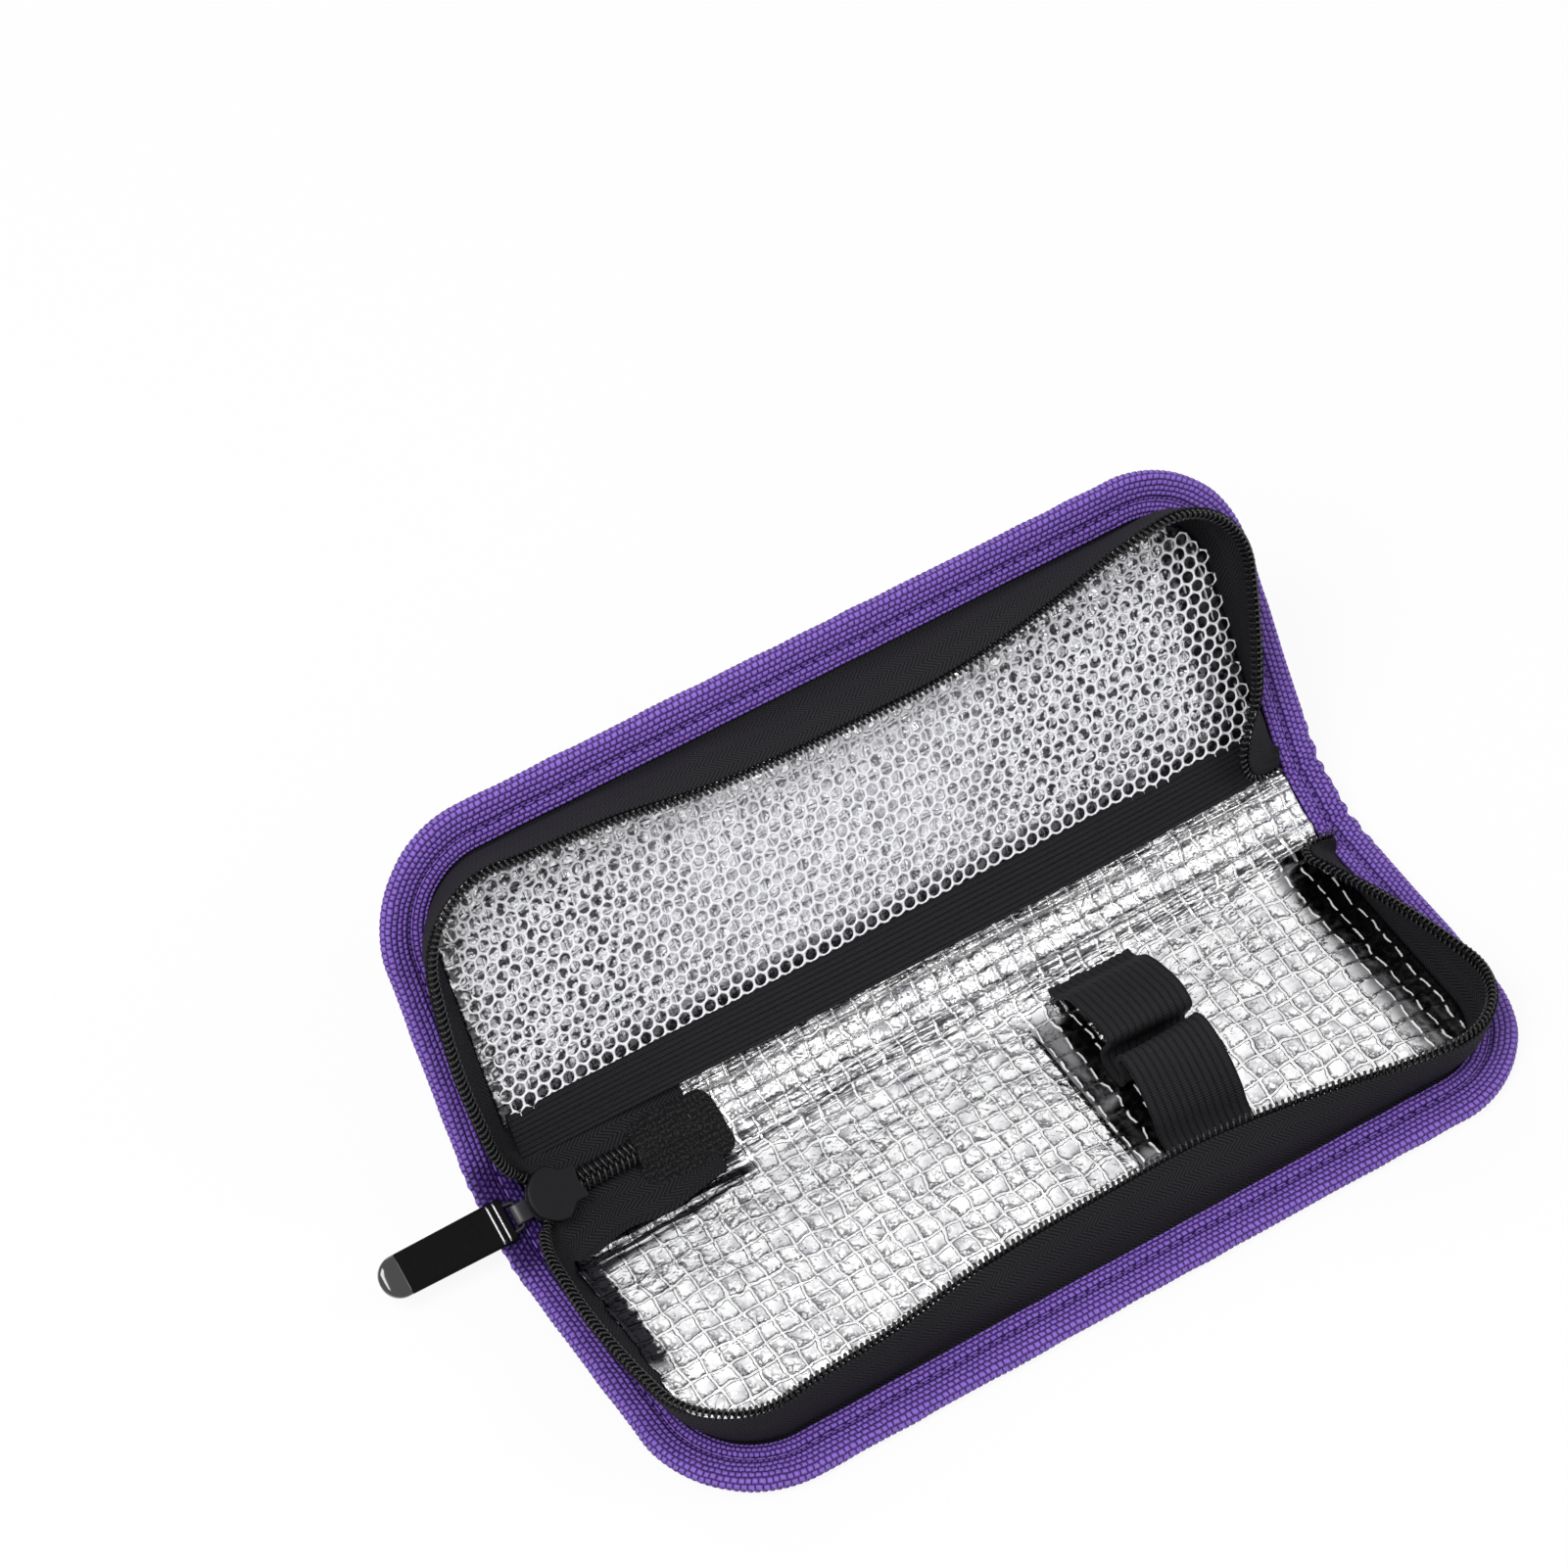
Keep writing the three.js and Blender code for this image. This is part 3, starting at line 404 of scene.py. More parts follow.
def cloth_piece(name, top, bottom, laid, finish, slot):
    """A thin closed sheet: one grid of points for each face, and a rim that joins their edges."""
    rows, columns = top.shape[:2]
    number = np.arange(rows * columns).reshape(rows, columns)
    rim = np.concatenate([number[0, :-1], number[:-1, -1], number[-1, :0:-1], number[:0:-1, 0]])
    after = np.roll(rim, -1)
    count = rows * columns
    upper = grid_faces(rows, columns)
    sides = np.stack([rim, after, after + count, rim + count], axis=1)
    faces = np.concatenate([upper, upper[:, ::-1] + count, sides])
    points = np.concatenate([top.reshape(-1, 3), bottom.reshape(-1, 3)])
    flat = laid.reshape(-1, 2)
    return make_piece(name, points, faces, np.concatenate([flat, flat])[faces], finish)


def rope_piece(name, rings, laid, finish):
    """A closed skin round rows of rings, with a flat cap at each end.

    Laid has one more column than the rings, so that the last face ends where it should.
    """
    caps = rings[[0, -1]].mean(axis=1, keepdims=True).repeat(rings.shape[1], axis=1)
    rings = np.concatenate([caps[:1], rings, caps[1:]])
    laid = np.concatenate([laid[:1], laid, laid[-1:]])
    rows, sides = rings.shape[:2]
    faces = grid_faces(rows, sides, ring=True)
    laid = laid.reshape(-1, 2)[grid_faces(rows, sides + 1)]
    row_of_face = np.arange(len(faces)) // sides
    smooth = (row_of_face > 0) & (row_of_face < rows - 2)
    return make_piece(name, rings.reshape(-1, 3), faces, laid, finish, smooth)


cover_weave = 0.52
cover_finish = Finish("woven_purple_cover", Roughness=0.62, Specular_IOR_Level=0.22, Sheen_Weight=0.03)
along, across = cover_finish.cloth()[1:]
warp_top, weft_top = (abs((part * (np.pi / cover_weave)).sine()) for part in (along, across))
over = ((along / cover_weave).floor() + (across / cover_weave).floor()) % 2
yarn = over * warp_top + (1 - over) * weft_top
streaks = cover_finish.noise(cover_finish.vector(along * 0.02, across * 1.6), 1.0, 3)
shade = (yarn * 0.75 + streaks * 0.5).ramp(0.25, 1.15)
lights = cover_finish.blend(over, (0.18, 0.064, 0.36), (0.14, 0.052, 0.38))
cover_finish.colour(shade, (0.055, 0.02, 0.14), lights)
cover_finish.relief(yarn, 0.00022)

cover_thickness = 0.6
cover_inset = 4
cover_step = 1.5
furthest_settled = 1.3


def settled(name, half, x, away, height):
    """How far each point of the cover moves outwards in a cloth simulation, in millimetres.

    It is pinned at its seams, slightly too large and pushed out. Points move 1.3 mm at most.
    """
    rest = folded(half, x, away, height)
    rows, columns = x.shape
    mesh = bpy.data.meshes.new(name)
    mesh.from_pydata(rest.reshape(-1, 3).tolist(), [], grid_faces(rows, columns).tolist())
    sheet = placed(name, mesh)
    held = (inset_at(x, away) < 12.5) | (away < 3)
    seam = sheet.vertex_groups.new(name="seam")
    seam.add(np.flatnonzero(held.ravel()).tolist(), 1.0, "REPLACE")
    cloth = sheet.modifiers.new("cloth", "CLOTH")
    behaviour = {
        "vertex_group_mass": "seam", "quality": 6, "mass": 0.15, "tension_stiffness": 12,
        "compression_stiffness": 12, "bending_stiffness": 0.6, "shrink_min": -0.012,
    }
    for setting, value in behaviour.items():
        setattr(cloth.settings, setting, value)
    cloth.settings.effector_weights.gravity = 0
    wind = rumple(x, away, 26, 17, 11)
    push = folded(half, x, away, height - 0.25 * wind) - rest
    mesh.vertices.foreach_set("co", (rest + push * (~held)[..., None]).ravel())
    for step in range(1, 21):
        bpy.context.scene.frame_set(step)
    settled_mesh = sheet.evaluated_get(bpy.context.evaluated_depsgraph_get()).to_mesh()
    place = np.zeros(rows * columns * 3)
    settled_mesh.vertices.foreach_get("co", place)
    bpy.context.scene.frame_set(1)
    bpy.data.objects.remove(sheet)
    outwards = folded(half, x, away, height - 1) - rest
    moved = ((place.reshape(rest.shape) - rest) * outwards).sum(-1) / (outwards**2).sum(-1)
    return np.clip(moved, -furthest_settled, furthest_settled)


def cover_height(half, x, away):
    """Height of the cover's outer face: under the binding at the rim, crowned over the padding."""
    inset = inset_at(x, away)
    under = gone(inset, 9.6, 13.8)
    under = under * under * (3 - 2 * under)
    crown = 0.75 * (1 - np.exp(-np.maximum(inset - 10.5, 0) / 7)) * gone(away, 0, 14)
    folds = 0.35 * rumple(x + 0.8 * away, away - 0.5 * x, 34, 15, 3) + 0.16 * rumple(x, away, 11, 9, 4)
    pucker = 0.14 * np.sin(x / 2.3) * np.exp(-((inset - 11.5) ** 2) / 5)
    rise = crown + (folds * (half == "lid") * gone(inset, 11, 20)) + pucker
    rise = rise * (half == "lid") - 0.12 * np.abs(rumple(x, away, 30, 22, 5)) * (half == "base")
    return -3.25 - under * (0.85 + rise)


cover_faces = {}
for half in halves:
    x, away = panel_grid(cover_inset, cover_step)
    height = cover_height(half, x, away)
    if half == "lid":
        height = height - settled("lid_cover_cloth", half, x, away, height)
    cover_faces[half] = height + cover_thickness
    cover = cloth_piece(
        f"{half}_cover_cloth",
        folded(half, x, away, height + cover_thickness),
        folded(half, x, away, height),
        together(x, away), cover_finish, "cover_fabric",
    )
    bend_with(cover)
    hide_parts(f"{half}_cover", *(["spine_cover"] if half == "base" else []))

# Padding. A soft foam sheet lies between the cover and the lining. It ends short of the binding,
# is compressed at the creases and doesn't show.
foam_finish = Finish("grey_foam", Roughness=0.95)
foam_finish.speckle(1.4, 3, (0.2, 0.2, 0.21), (0.36, 0.36, 0.37), 0.0003)
foam_inset = 12.2
foam_step = 3
foam_clearance = 0.25

for half in halves:
    x, away = panel_grid(foam_inset, foam_step)
    cover_x, cover_away = panel_grid(cover_inset, cover_step)
    column = np.abs(cover_x[0][None, :] - x[0][:, None]).argmin(axis=1)
    row = np.abs(cover_away[:, 0][None, :] - away[:, 0][:, None]).argmin(axis=1)
    low = cover_faces[half][row][:, column] + foam_clearance
    pinch = 0.5 * np.exp(-((away / 4) ** 2))
    hollow = gone(x, 78, 90) * gone(away, 0, 3)
    foam = cloth_piece(
        f"{half}_padding",
        folded(half, x, away, -1.15 - pinch - hollow),
        folded(half, x, away, np.minimum(low, -2.3) + pinch * 0.3),
        together(x, away), foam_finish, "foam",
    )
    bend_with(foam)
    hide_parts(f"{half}_foam", *(["spine_foam"] if half == "base" else []))

# Lining. Bright metal film is pressed onto a net of thin yarns, so fine ridges cross it every four
# or five millimetres, with small dents between them. It crumples where the case folds.
scrim_pitch = 4.45
lining_thickness = 0.35
lining_inset = 10.8
lining_step = 0.75
foil_shift, crease_shift, lid_shift = 200, 100, 200
foil = Finish("silver_foil_on_scrim")
spot, along, across = foil.cloth()
foil_x = along - foil_shift
foil_away = across % lid_shift - crease_shift
on_lid = across > lid_shift
on_base = 1 - on_lid

wander = foil.noise(spot, 0.14, 2.5)
drift = foil.noise(foil.vector(across, along, 40.0), 0.16, 2.5)
scrim_along = (along + wander * 3.6) / scrim_pitch
scrim_across = (across + drift * 3.6) / scrim_pitch
cell_along, cell_across = scrim_along.floor(), scrim_across.floor()
inside_along = scrim_along - cell_along - 0.5
inside_across = scrim_across - cell_across - 0.5
cell_place = {"Vector": foil.vector(cell_along, cell_across)}
cell_chances = foil.node("ShaderNodeTexWhiteNoise", {"noise_dimensions": "3D"}, cell_place, 1)
chance_one, chance_two, cell_shade = foil.parts(cell_chances)
frayed = foil.noise(spot, 1.3, 2)
film = foil.noise(spot, 0.55, 2)
wide_shade = foil.noise(spot, 0.035, 2)
yarn_along, yarn_across = (
    (abs(inside) + frayed * 0.06).ramp(0.42, 0.475) for inside in (inside_along, inside_across)
)
yarn = yarn_along.most(yarn_across)
# Painted shadow: a dark strip along one side of each yarn ridge, broken up by noise.
beside = abs(inside_along + 0.35).fade(0, 0.1).most(abs(inside_across - 0.35).fade(0, 0.1))
beside = beside * frayed.ramp(0.38, 0.56)
# Painted shade: dark curved strokes in the dents, more of them towards the cells' corners and the crease.
# The dents' noise also bumps the surface.
dents = foil.noise(foil.vector(along + cell_shade * 60, across + chance_one * 60), 0.42, 2.5)
dent_line = abs(dents - 0.5).fade(0.01, 0.075)
to_corner = (inside_across - inside_along).ramp(-0.25, 0.45)
to_crease = abs(foil_away + 5).fade(6, 11)
dent_share = (chance_two + (wide_shade - 0.5) * 2 + to_crease * 0.6).ramp(0.3, 0.65)
painted_dent_shade = dent_line * (0.3 + 0.7 * to_corner) * dent_share * 0.9
at_crease = abs(foil_away).fade(2, 5.5)
crumples = foil.noise(foil.vector(along * 0.035, across * 0.55), 1.0, 3)
# Painted shade: thin dark lines along the crumples at the crease.
painted_crumple_shade = abs(crumples - 0.5).fade(0.01, 0.06) * at_crease * 0.9

# Where the lining is drawn tight its bumps are flattened, and a painted black reflection of the tape and
# elastic darkens it, crossed by painted highlights along its yarns.
by_wall = (foil_x - on_lid * 5).ramp(78, 83) * foil_away.ramp(1, 4)
by_loops = abs(foil_x - 21).fade(5.4, 6.6) * foil_away.ramp(5, 12) * on_base
drawn_tight_painted_mirror = by_wall.most(by_loops)
painted_yarn_glint = (abs(inside_along) + frayed * 0.05).ramp(0.465, 0.49) * drawn_tight_painted_mirror
painted_yarn_glint = painted_yarn_glint * (abs(inside_across) + frayed * 0.1).fade(0.36, 0.44)
foil_height = yarn * 0.6 + dents * (0.9 + to_crease * 0.8) + film * 0.12 + crumples * at_crease * 2
foil.relief(foil_height * (1 - drawn_tight_painted_mirror * 0.96) * (1 + on_lid * 0.7), 0.0006)

# Painted black reflections also darken it at the left end, beside the zip's tail and in spots behind the
# net, and painted shade darkens a strip of the lid's lining under the pocket band.
left_edge_painted_reflection = (foil_x + film * 5).fade(-88.8, -87.4) * abs(foil_away - 22).fade(14, 20)
tail_side_painted_reflection = foil_x.fade(-54, -48) * abs(foil_away + foil_x * 0.1).fade(3, 5.5)
base_painted_reflection = left_edge_painted_reflection.most(tail_side_painted_reflection * crumples.ramp(0.44, 0.5)) * on_base
lid_left_painted_reflection = foil_x.fade(-92, -85) * on_lid * film.ramp(0.4, 0.55) * 0.9
net_painted_reflection_spots = foil.noise(spot, 0.5, 1.5).ramp(0.51, 0.55) * abs(foil_x + 8).ramp(18, 55, 0.25, 1)
net_painted_shade_and_reflection = foil_away.fade(13.5, 17).most(net_painted_reflection_spots) * foil_away.ramp(3, 4) * on_lid * 0.92
all_painted_shade_and_reflection = painted_crumple_shade.most(lid_left_painted_reflection).most(base_painted_reflection.most(net_painted_shade_and_reflection))

# Painted reflection: each scrim cell is coloured lighter on one side and darker on the other, as if its
# facet mirrored a brighter or dimmer part of the surround, over a random grey tone.
painted_tilt_shade = inside_along * (chance_one - 0.5) + inside_across * (chance_two - 0.5)
painted_facet_shade = painted_tilt_shade * (1.3 + to_crease * 1.7) + cell_shade * (0.3 + to_crease * 0.5)
painted_facet_shade = (painted_facet_shade + film * 0.6 + wide_shade * 0.6).ramp(0.28, 0.84)
foil_colour = foil.blend(painted_facet_shade, (0.55, 0.55, 0.58), (0.98, 0.98, 0.99))
# Painted dent shade and the painted shadow beside the yarns darken the cells.
painted_dent_shade = painted_dent_shade.most(beside * (0.45 + cell_shade * 0.5))
foil_colour = foil.blend(painted_dent_shade, foil_colour, (0.09, 0.09, 0.1))
# Painted shade and black reflections: crumple lines, the left ends, beside the tail and behind the net.
foil_colour = foil.blend(all_painted_shade_and_reflection, foil_colour, (0.025, 0.025, 0.03))
# Painted reflection of the black tape and elastic where the lining is drawn tight.
foil_colour = foil.blend(drawn_tight_painted_mirror * 0.8, foil_colour, (0.03, 0.03, 0.035))
# Painted highlights: the yarn ridges are coloured near white, except under the painted black reflections.
# The painted glints are also made less metallic.
painted_yarn_highlight = yarn * (0.8 - drawn_tight_painted_mirror * 0.8) * (1 - base_painted_reflection) * (1 - net_painted_shade_and_reflection) + painted_yarn_glint
foil.feed(
    Base_Color=foil.blend(painted_yarn_highlight, foil_colour, (0.97, 0.97, 0.98)),
    Metallic=1 - on_lid * 0.22 - painted_yarn_glint * 0.9,
    Roughness=film.ramp(0.3, 0.7, 0.12, 0.24),
)


def pressed(half, x, away):
    """How far the padding is pressed in, at the right end's seam and under the sewn-down loops.

    Each is half of one less the cosine of a share from nought to pi, times its depth.
    """
    at_wall = gone(x, 80, 93) * gone(away, 1, 7)
    at_loops = (half == "base") * gone(x, 8, 20) * gone(x, 52, 44)
    at_loops = at_loops * gone(away, 1, 8) * gone(away, 60, 53)
    return 0.6 * (1 - np.cos(np.pi * at_wall)) + 0.45 * (1 - np.cos(np.pi * at_loops))


def foil_rise(x, away):
    """Height of the crumpled lining above the padding.

    It adds up pillows between the yarns, which are the root of the product of two sines, slack
    ripples, and sharp folds that die away from the crease. The zip's tail presses it down.
    """
    pillow = np.abs(np.sin(np.pi * x / scrim_pitch) * np.sin(np.pi * away / scrim_pitch)) ** 0.5
    ripple = 0.2 * rumple(x, away, 9, 7, 21) + 0.14 * rumple(x, away, 4.3, 3.9, 22)
    near = np.exp(-((away / 8.5) ** 2)) * (0.1 + 0.9 * gone(x, -52, -44))
    bent = away + 1.1 * rumple(x, away * 0, 21, 9, 23)
    ridge = 1 - np.abs(rumple(x, bent, 38, 2.7, 24)) ** 0.7
    knot = 1 - np.abs(rumple(x, away, 5.5, 2.6, 25)) ** 0.8
    under_tail = gone(x, -50, -53) * gone(away, 8, 4)
    swell = 0.3 * rumple(x, away * 0.3, 19, 9, 26)
    tight = 1 - 0.7 * gone(x, 78, 83) - 0.7 * np.clip(1 - np.abs(x - 18) / 7, 0, 1)
    return tight * (ripple + swell) + 0.14 * pillow + near * (0.95 * ridge + 0.6 * knot) - 0.8 * under_tail


for half in halves:
    x, away = panel_grid(lining_inset, lining_step)
    on_spine = gone(away, 1, -2)
    x = x * (1 + 0.0085 * on_spine)
    height = 0.05 + 0.8 * foil_rise(x, away)
    height = height - pressed(half, x, away)
    torn = gone(inset_at(x, away), 13, lining_inset) ** 2
    torn = torn * gone(x, -60, -80) * gone(away, 4, 10)
    torn = torn * (half == "base") * np.clip(1.1 + 1.3 * rumple(x * 0, away, 9, 2.6, 27), 0.1, 2.2)
    x = x - torn
    height = height + 1.1 * torn
    laid_across = away + crease_shift + lid_shift * (half == "lid")
    lining = cloth_piece(
        f"{half}_foil_lining",
        folded(half, x, away, height),
        folded(half, x, away, height - lining_thickness),
        together(x + foil_shift, laid_across), foil, "foil",
    )
    bend_with(lining)
    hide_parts(f"{half}_lining", *(["spine_lining"] if half == "base" else []))

# Binding. Coarse purple webbing is folded round the whole edge and sewn through twice, once near
# each of its woven edges. It gathers into short ribs where the case folds at the creases.
loop_length, loop_breadth = 1.46, 1.12
webbing_thickness = 0.9
outer_reach = 10.3
inner_reach = 9.3
web_step = 0.36
web_shift = 20
web_finish = Finish("coarse_purple_webbing", Roughness=0.5, Specular_IOR_Level=0.25)
spot, along, across = web_finish.cloth()
sway = web_finish.noise(spot, 0.35, 2)
web_column = (across + sway * 0.5) / loop_breadth
web_row = (along + sway * 0.9) / loop_length + (web_column.floor() % 2) * 0.5
in_row = abs(web_row % 1 - 0.5) * 2
in_column = abs(web_column % 1 - 0.5) * 2
loop_top = (1 - in_row**4) * (1 - in_column**3)
# Painted highlight and shade: the loops' tops are coloured lighter than the gaps between them, the groove
# over each line of stitches is painted darker, and so is the inner leg by the slider at the spine's left
# end. Fibre streaks and a random purple give real tone.
painted_groove_shade = abs(across - 3.5).fade(0.2, 1.3)
ply = web_finish.noise(web_finish.vector(along * 2.2, across * 9), 1.0, 2)
painted_shade_by_slider = (along - web_shift).fade(0, 9) * across.fade(8, 10)
web_tone_and_painted_light = (loop_top * 0.8 + ply * 0.45 - painted_groove_shade * 0.4 - painted_shade_by_slider * 0.6).ramp(0.1, 1.05)
web_light = web_finish.blend(web_finish.noise(spot, 0.12, 2), (0.3, 0.16, 0.69), (0.23, 0.118, 0.55))
web_finish.colour(web_tone_and_painted_light, (0.03, 0.011, 0.105), web_light)
web_finish.relief(loop_top + ply * 0.15, 0.0006)


def webbing_line():
    """Middle line of the folded webbing as insets and heights: inner leg, half circle, outer leg."""
    half_thick = webbing_thickness / 2
    top, bottom = -half_thick, half_thick - panel_thickness
    middle, bend = (top + bottom) / 2, (top - bottom) / 2
    turn = np.linspace(np.pi / 2, -np.pi / 2, 25)
    arc = together(bend + half_thick - bend * np.cos(turn), middle + bend * np.sin(turn))
    line = np.concatenate([[[inner_reach, top]], arc, [[outer_reach, bottom]]])
    return evenly(line, web_step)


def run_along(line):
    """How far along a line each of its points lies."""
    return np.concatenate([[0], np.cumsum(np.linalg.norm(np.diff(line, axis=0), axis=1))])


def read_off(line, run, at):
    """The places of a line at other distances along its run."""
    return together(*(np.interp(at, run, column) for column in line.T))


def evenly(line, step):
    """The same line with its points an even step apart."""
    run = run_along(line)
    return read_off(line, run, np.linspace(0, run[-1], int(run[-1] / step) + 1))


def web_loops(along, across):
    """Height of the woven loops: one less the fourth power of the way off a loop's middle along
    the web, times one less the cube of the way off it across. Other columns are half a loop off."""
    column = across / loop_breadth
    row = along / loop_length + 0.5 * (np.floor(column) % 2)
    in_row, in_column = (np.abs(part % 1 - 0.5) * 2 for part in (row, column))
    return (1 - in_row**4) * (1 - in_column**3)


web_line = webbing_line()
web_way = unit(np.gradient(web_line, axis=0))
web_out = together(web_way[:, 1], -web_way[:, 0])
web_run = np.arange(len(web_line)) * web_step
web_rows = int((edge_run + spine_width) / web_step)
web_distance = np.linspace(-mid_spine, edge_run + mid_spine, web_rows)
web_distance = np.concatenate([[-mid_spine - 0.7], web_distance, [edge_run + mid_spine + 0.7]])[:, None]
stitch_margin = 3.3
stitch_lines = (stitch_margin, web_run[-1] - stitch_margin)
seam_width = 0.85


def seam_dent(across):
    """A bell over each of the two lines of stitches."""
    return sum(np.exp(-(((across - line) / seam_width) ** 2)) for line in stitch_lines)


def gather(distance):
    """Ribs of the webbing where it is pressed together at the two creases, and a faint waviness.

    The ribs are a sine with a wandering phase, under a bell over each crease.
    """
    past_right = distance - edge_run
    near = 0.4 * np.exp(-((distance / 6.5) ** 2)) + np.exp(-((past_right / 6.5) ** 2))
    ribs = np.sin(distance * 2 * np.pi / 3.9 + 1.6 * rumple(distance, 0 * distance, 5, 1, 32))
    return near * 0.4 * ribs + 0.14 * rumple(distance, 0 * distance, 6, 1, 31)


puff = np.sin(np.pi * gone(web_run, 0, 3.2)) ** 0.8
for half in halves:
    raised = 0.3 * web_loops(web_distance + web_shift, web_run) - 0.14 - 0.5 * seam_dent(web_run)
    raised = raised + 0.2 * puff + gather(web_distance)
    raised[[0, -1]] -= 0.25
    on_table = (web_line[:, 1] < -panel_thickness / 2 - 0.8) & (half == "base")
    raised = np.where(on_table, raised * 0.35 - 0.1, raised)
    out = webbing_thickness / 2 + raised
    outer = web_line + out[..., None] * web_out
    inner = web_line[::-3] - (webbing_thickness / 2 - 0.1) * web_out[::-3]
    ring = np.concatenate([outer, np.broadcast_to(inner, (len(outer), *inner.shape))], axis=1)
    edge_x, edge_away, in_x, in_away = edge_line(web_distance)
    rings = folded(half, edge_x + in_x * ring[..., 0], edge_away + in_away * ring[..., 0], ring[..., 1])
    round_it = np.concatenate([web_run, web_run[::-3] + 40, [web_run[-1] + 60]])
    laid = together(web_distance + web_shift, round_it[None])
    binding = rope_piece(f"{half}_webbing", rings, laid, web_finish)
    bend_with(binding)
    spine_side = "left" if half == "base" else "right"
    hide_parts(f"{half}_binding", f"spine_binding_{spine_side}")

# Sewing thread. Lockstitches in a slightly duller purple run in the grooves on both faces.
thread_finish = Finish("purple_thread", Roughness=0.45)
thread_finish.speckle(3.0, 1, (0.16, 0.075, 0.36), (0.24, 0.12, 0.5))
stitch_pitch = 2.9
stitch_length = 2.45
thread_radius = 0.2


def stitch_piece(name, middles, ways, ups, finish):
    """Many short stitches as one mesh. Each is a capsule, bowed down at both ends.

    Its rings shrink as the root of one less the fourth power of the share of its half length.
    """
    rows, sides = 9, 6
    along = np.linspace(-1, 1, rows - 2)
    turn = np.linspace(0, 2 * np.pi, sides, endpoint=False)
    thick = thread_radius * np.sqrt(np.clip(1 - along**4, 0.02, 1))
    line = (stitch_length / 2) * along
    up = thick[:, None] * np.sin(turn) - 0.18 * along[:, None] ** 4
    side = thick[:, None] * np.cos(turn)
    spread = (
        line[None, :, None, None] * ways[:, None, None]
        + up[None, :, :, None] * ups[:, None, None]
        + side[None, :, :, None] * np.cross(ways, ups)[:, None, None]
    ) / 1000
    points = middles[:, None, None] + spread
    ends = points[:, [0, -1]].mean(axis=2, keepdims=True).repeat(sides, axis=2)
    points = np.concatenate([ends[:, :1], points, ends[:, 1:]], axis=1)
    first_corners = rows * sides * np.arange(len(middles))[:, None, None]
    faces = (grid_faces(rows, sides, ring=True) + first_corners).reshape(-1, 4)
    flat = together(np.arange(rows)[:, None] * 0.3, np.arange(sides + 1) * 0.2)
    laid = np.tile(flat.reshape(-1, 2)[grid_faces(rows, sides + 1)], (len(middles), 1, 1))
    return make_piece(name, points.reshape(-1, 3), faces, laid, finish)


def around(half, distance, inset, height):
    """A place at an inset and height, a distance round the edge of a half."""
    x, away, in_x, in_away = edge_line(distance)
    return folded(half, x + in_x * inset, away + in_away * inset, height)


for half in halves:
    thread_at = np.arange(-mid_spine + 1.5, edge_run + mid_spine - 1, stitch_pitch)
    frames = []
    for line in stitch_lines:
        index = int(round(line / web_step))
        depth = webbing_thickness / 2 - 0.42
        inset, height = web_line[index] + depth * web_out[index]
        place = around(half, thread_at, inset, height)
        above = around(half, thread_at, inset + web_out[index, 0], height + web_out[index, 1])
        beyond = around(half, thread_at + 0.1, inset, height)
        frames.append((place, unit(beyond - place), unit(above - place)))
    middles, ways, ups = (np.concatenate([frame[part] for frame in frames]) for part in range(3))
    thread = stitch_piece(f"{half}_webbing_stitches", middles, ways, ups, thread_finish)
    bend_with(thread)

# Zip tapes. Each half has one woven black tape, sewn in under the inner leg of the binding. It
# stands up along three sides, leans in, carries the coil on its inner face, and at its left end
# runs down through the slider and along the spine.
closed_turn = np.radians(83.5)
tail_depth = 7.5
coil_inset = 17.0
coil_inset_shares = np.array([
    (0, 0.2), (0.08, 0.03), (0.15, 0.12), (0.21, 0.33), (0.27, 0.53), (0.34, 0.66), (0.4, 0.88),
    (0.5, 1), (0.58, 0.99), (0.65, 0.735), (0.705, 0.45), (0.735, 0.36), (0.87, 0.42),
    (0.93, 0.7), (0.965, 0.95),
])
tape_foot = 10.2
tape_thickness = 0.45
coil_reach = 1.5
line_step = 0.8
tape_finish = Finish("black_herringbone_tape", Roughness=0.75, Specular_IOR_Level=0.14)
spot, along, across = tape_finish.cloth()
zigzag = abs((across / 4.6) % 1 - 0.5) * 4.6
twill = ((along + zigzag * 1.2) / 1.1) % 1
twill_top = 1 - (abs(twill - 0.5) * 2) ** 2
tape_fibre = tape_finish.noise(spot, 1.7, 3)
tape_light = (twill_top * 0.7 + tape_fibre * 0.5).ramp(0.3, 1.05)
tape_finish.colour(tape_light, (0.0026, 0.0024, 0.003), (0.02, 0.0186, 0.022))
tape_finish.relief(twill_top + tape_fibre * 0.4, 0.00016)


def smooth_through(knots, step):
    """A line through knots with its points an even step apart.

    Between two knots it is the cubic whose slopes at them are those of the knots on either side.
    The run is measured over the first three columns.
    """
    knots = np.asarray(knots, float)
    run = run_along(knots[:, :3])
    slope = np.gradient(knots, run, axis=0)
    at = np.linspace(0, run[-1], int(run[-1] / step) + 1)
    index = np.clip(np.searchsorted(run, at, side="right") - 1, 0, len(run) - 2)
    width = (run[index + 1] - run[index])[:, None]
    share = (at - run[index])[:, None] / width
    ease = share * share * (3 - 2 * share)
    start_pull = share * (1 - share) ** 2 * width
    end_pull = share * share * (share - 1) * width
    return (
        knots[index] * (1 - ease) + knots[index + 1] * ease
        + slope[index] * start_pull + slope[index + 1] * end_pull
    )


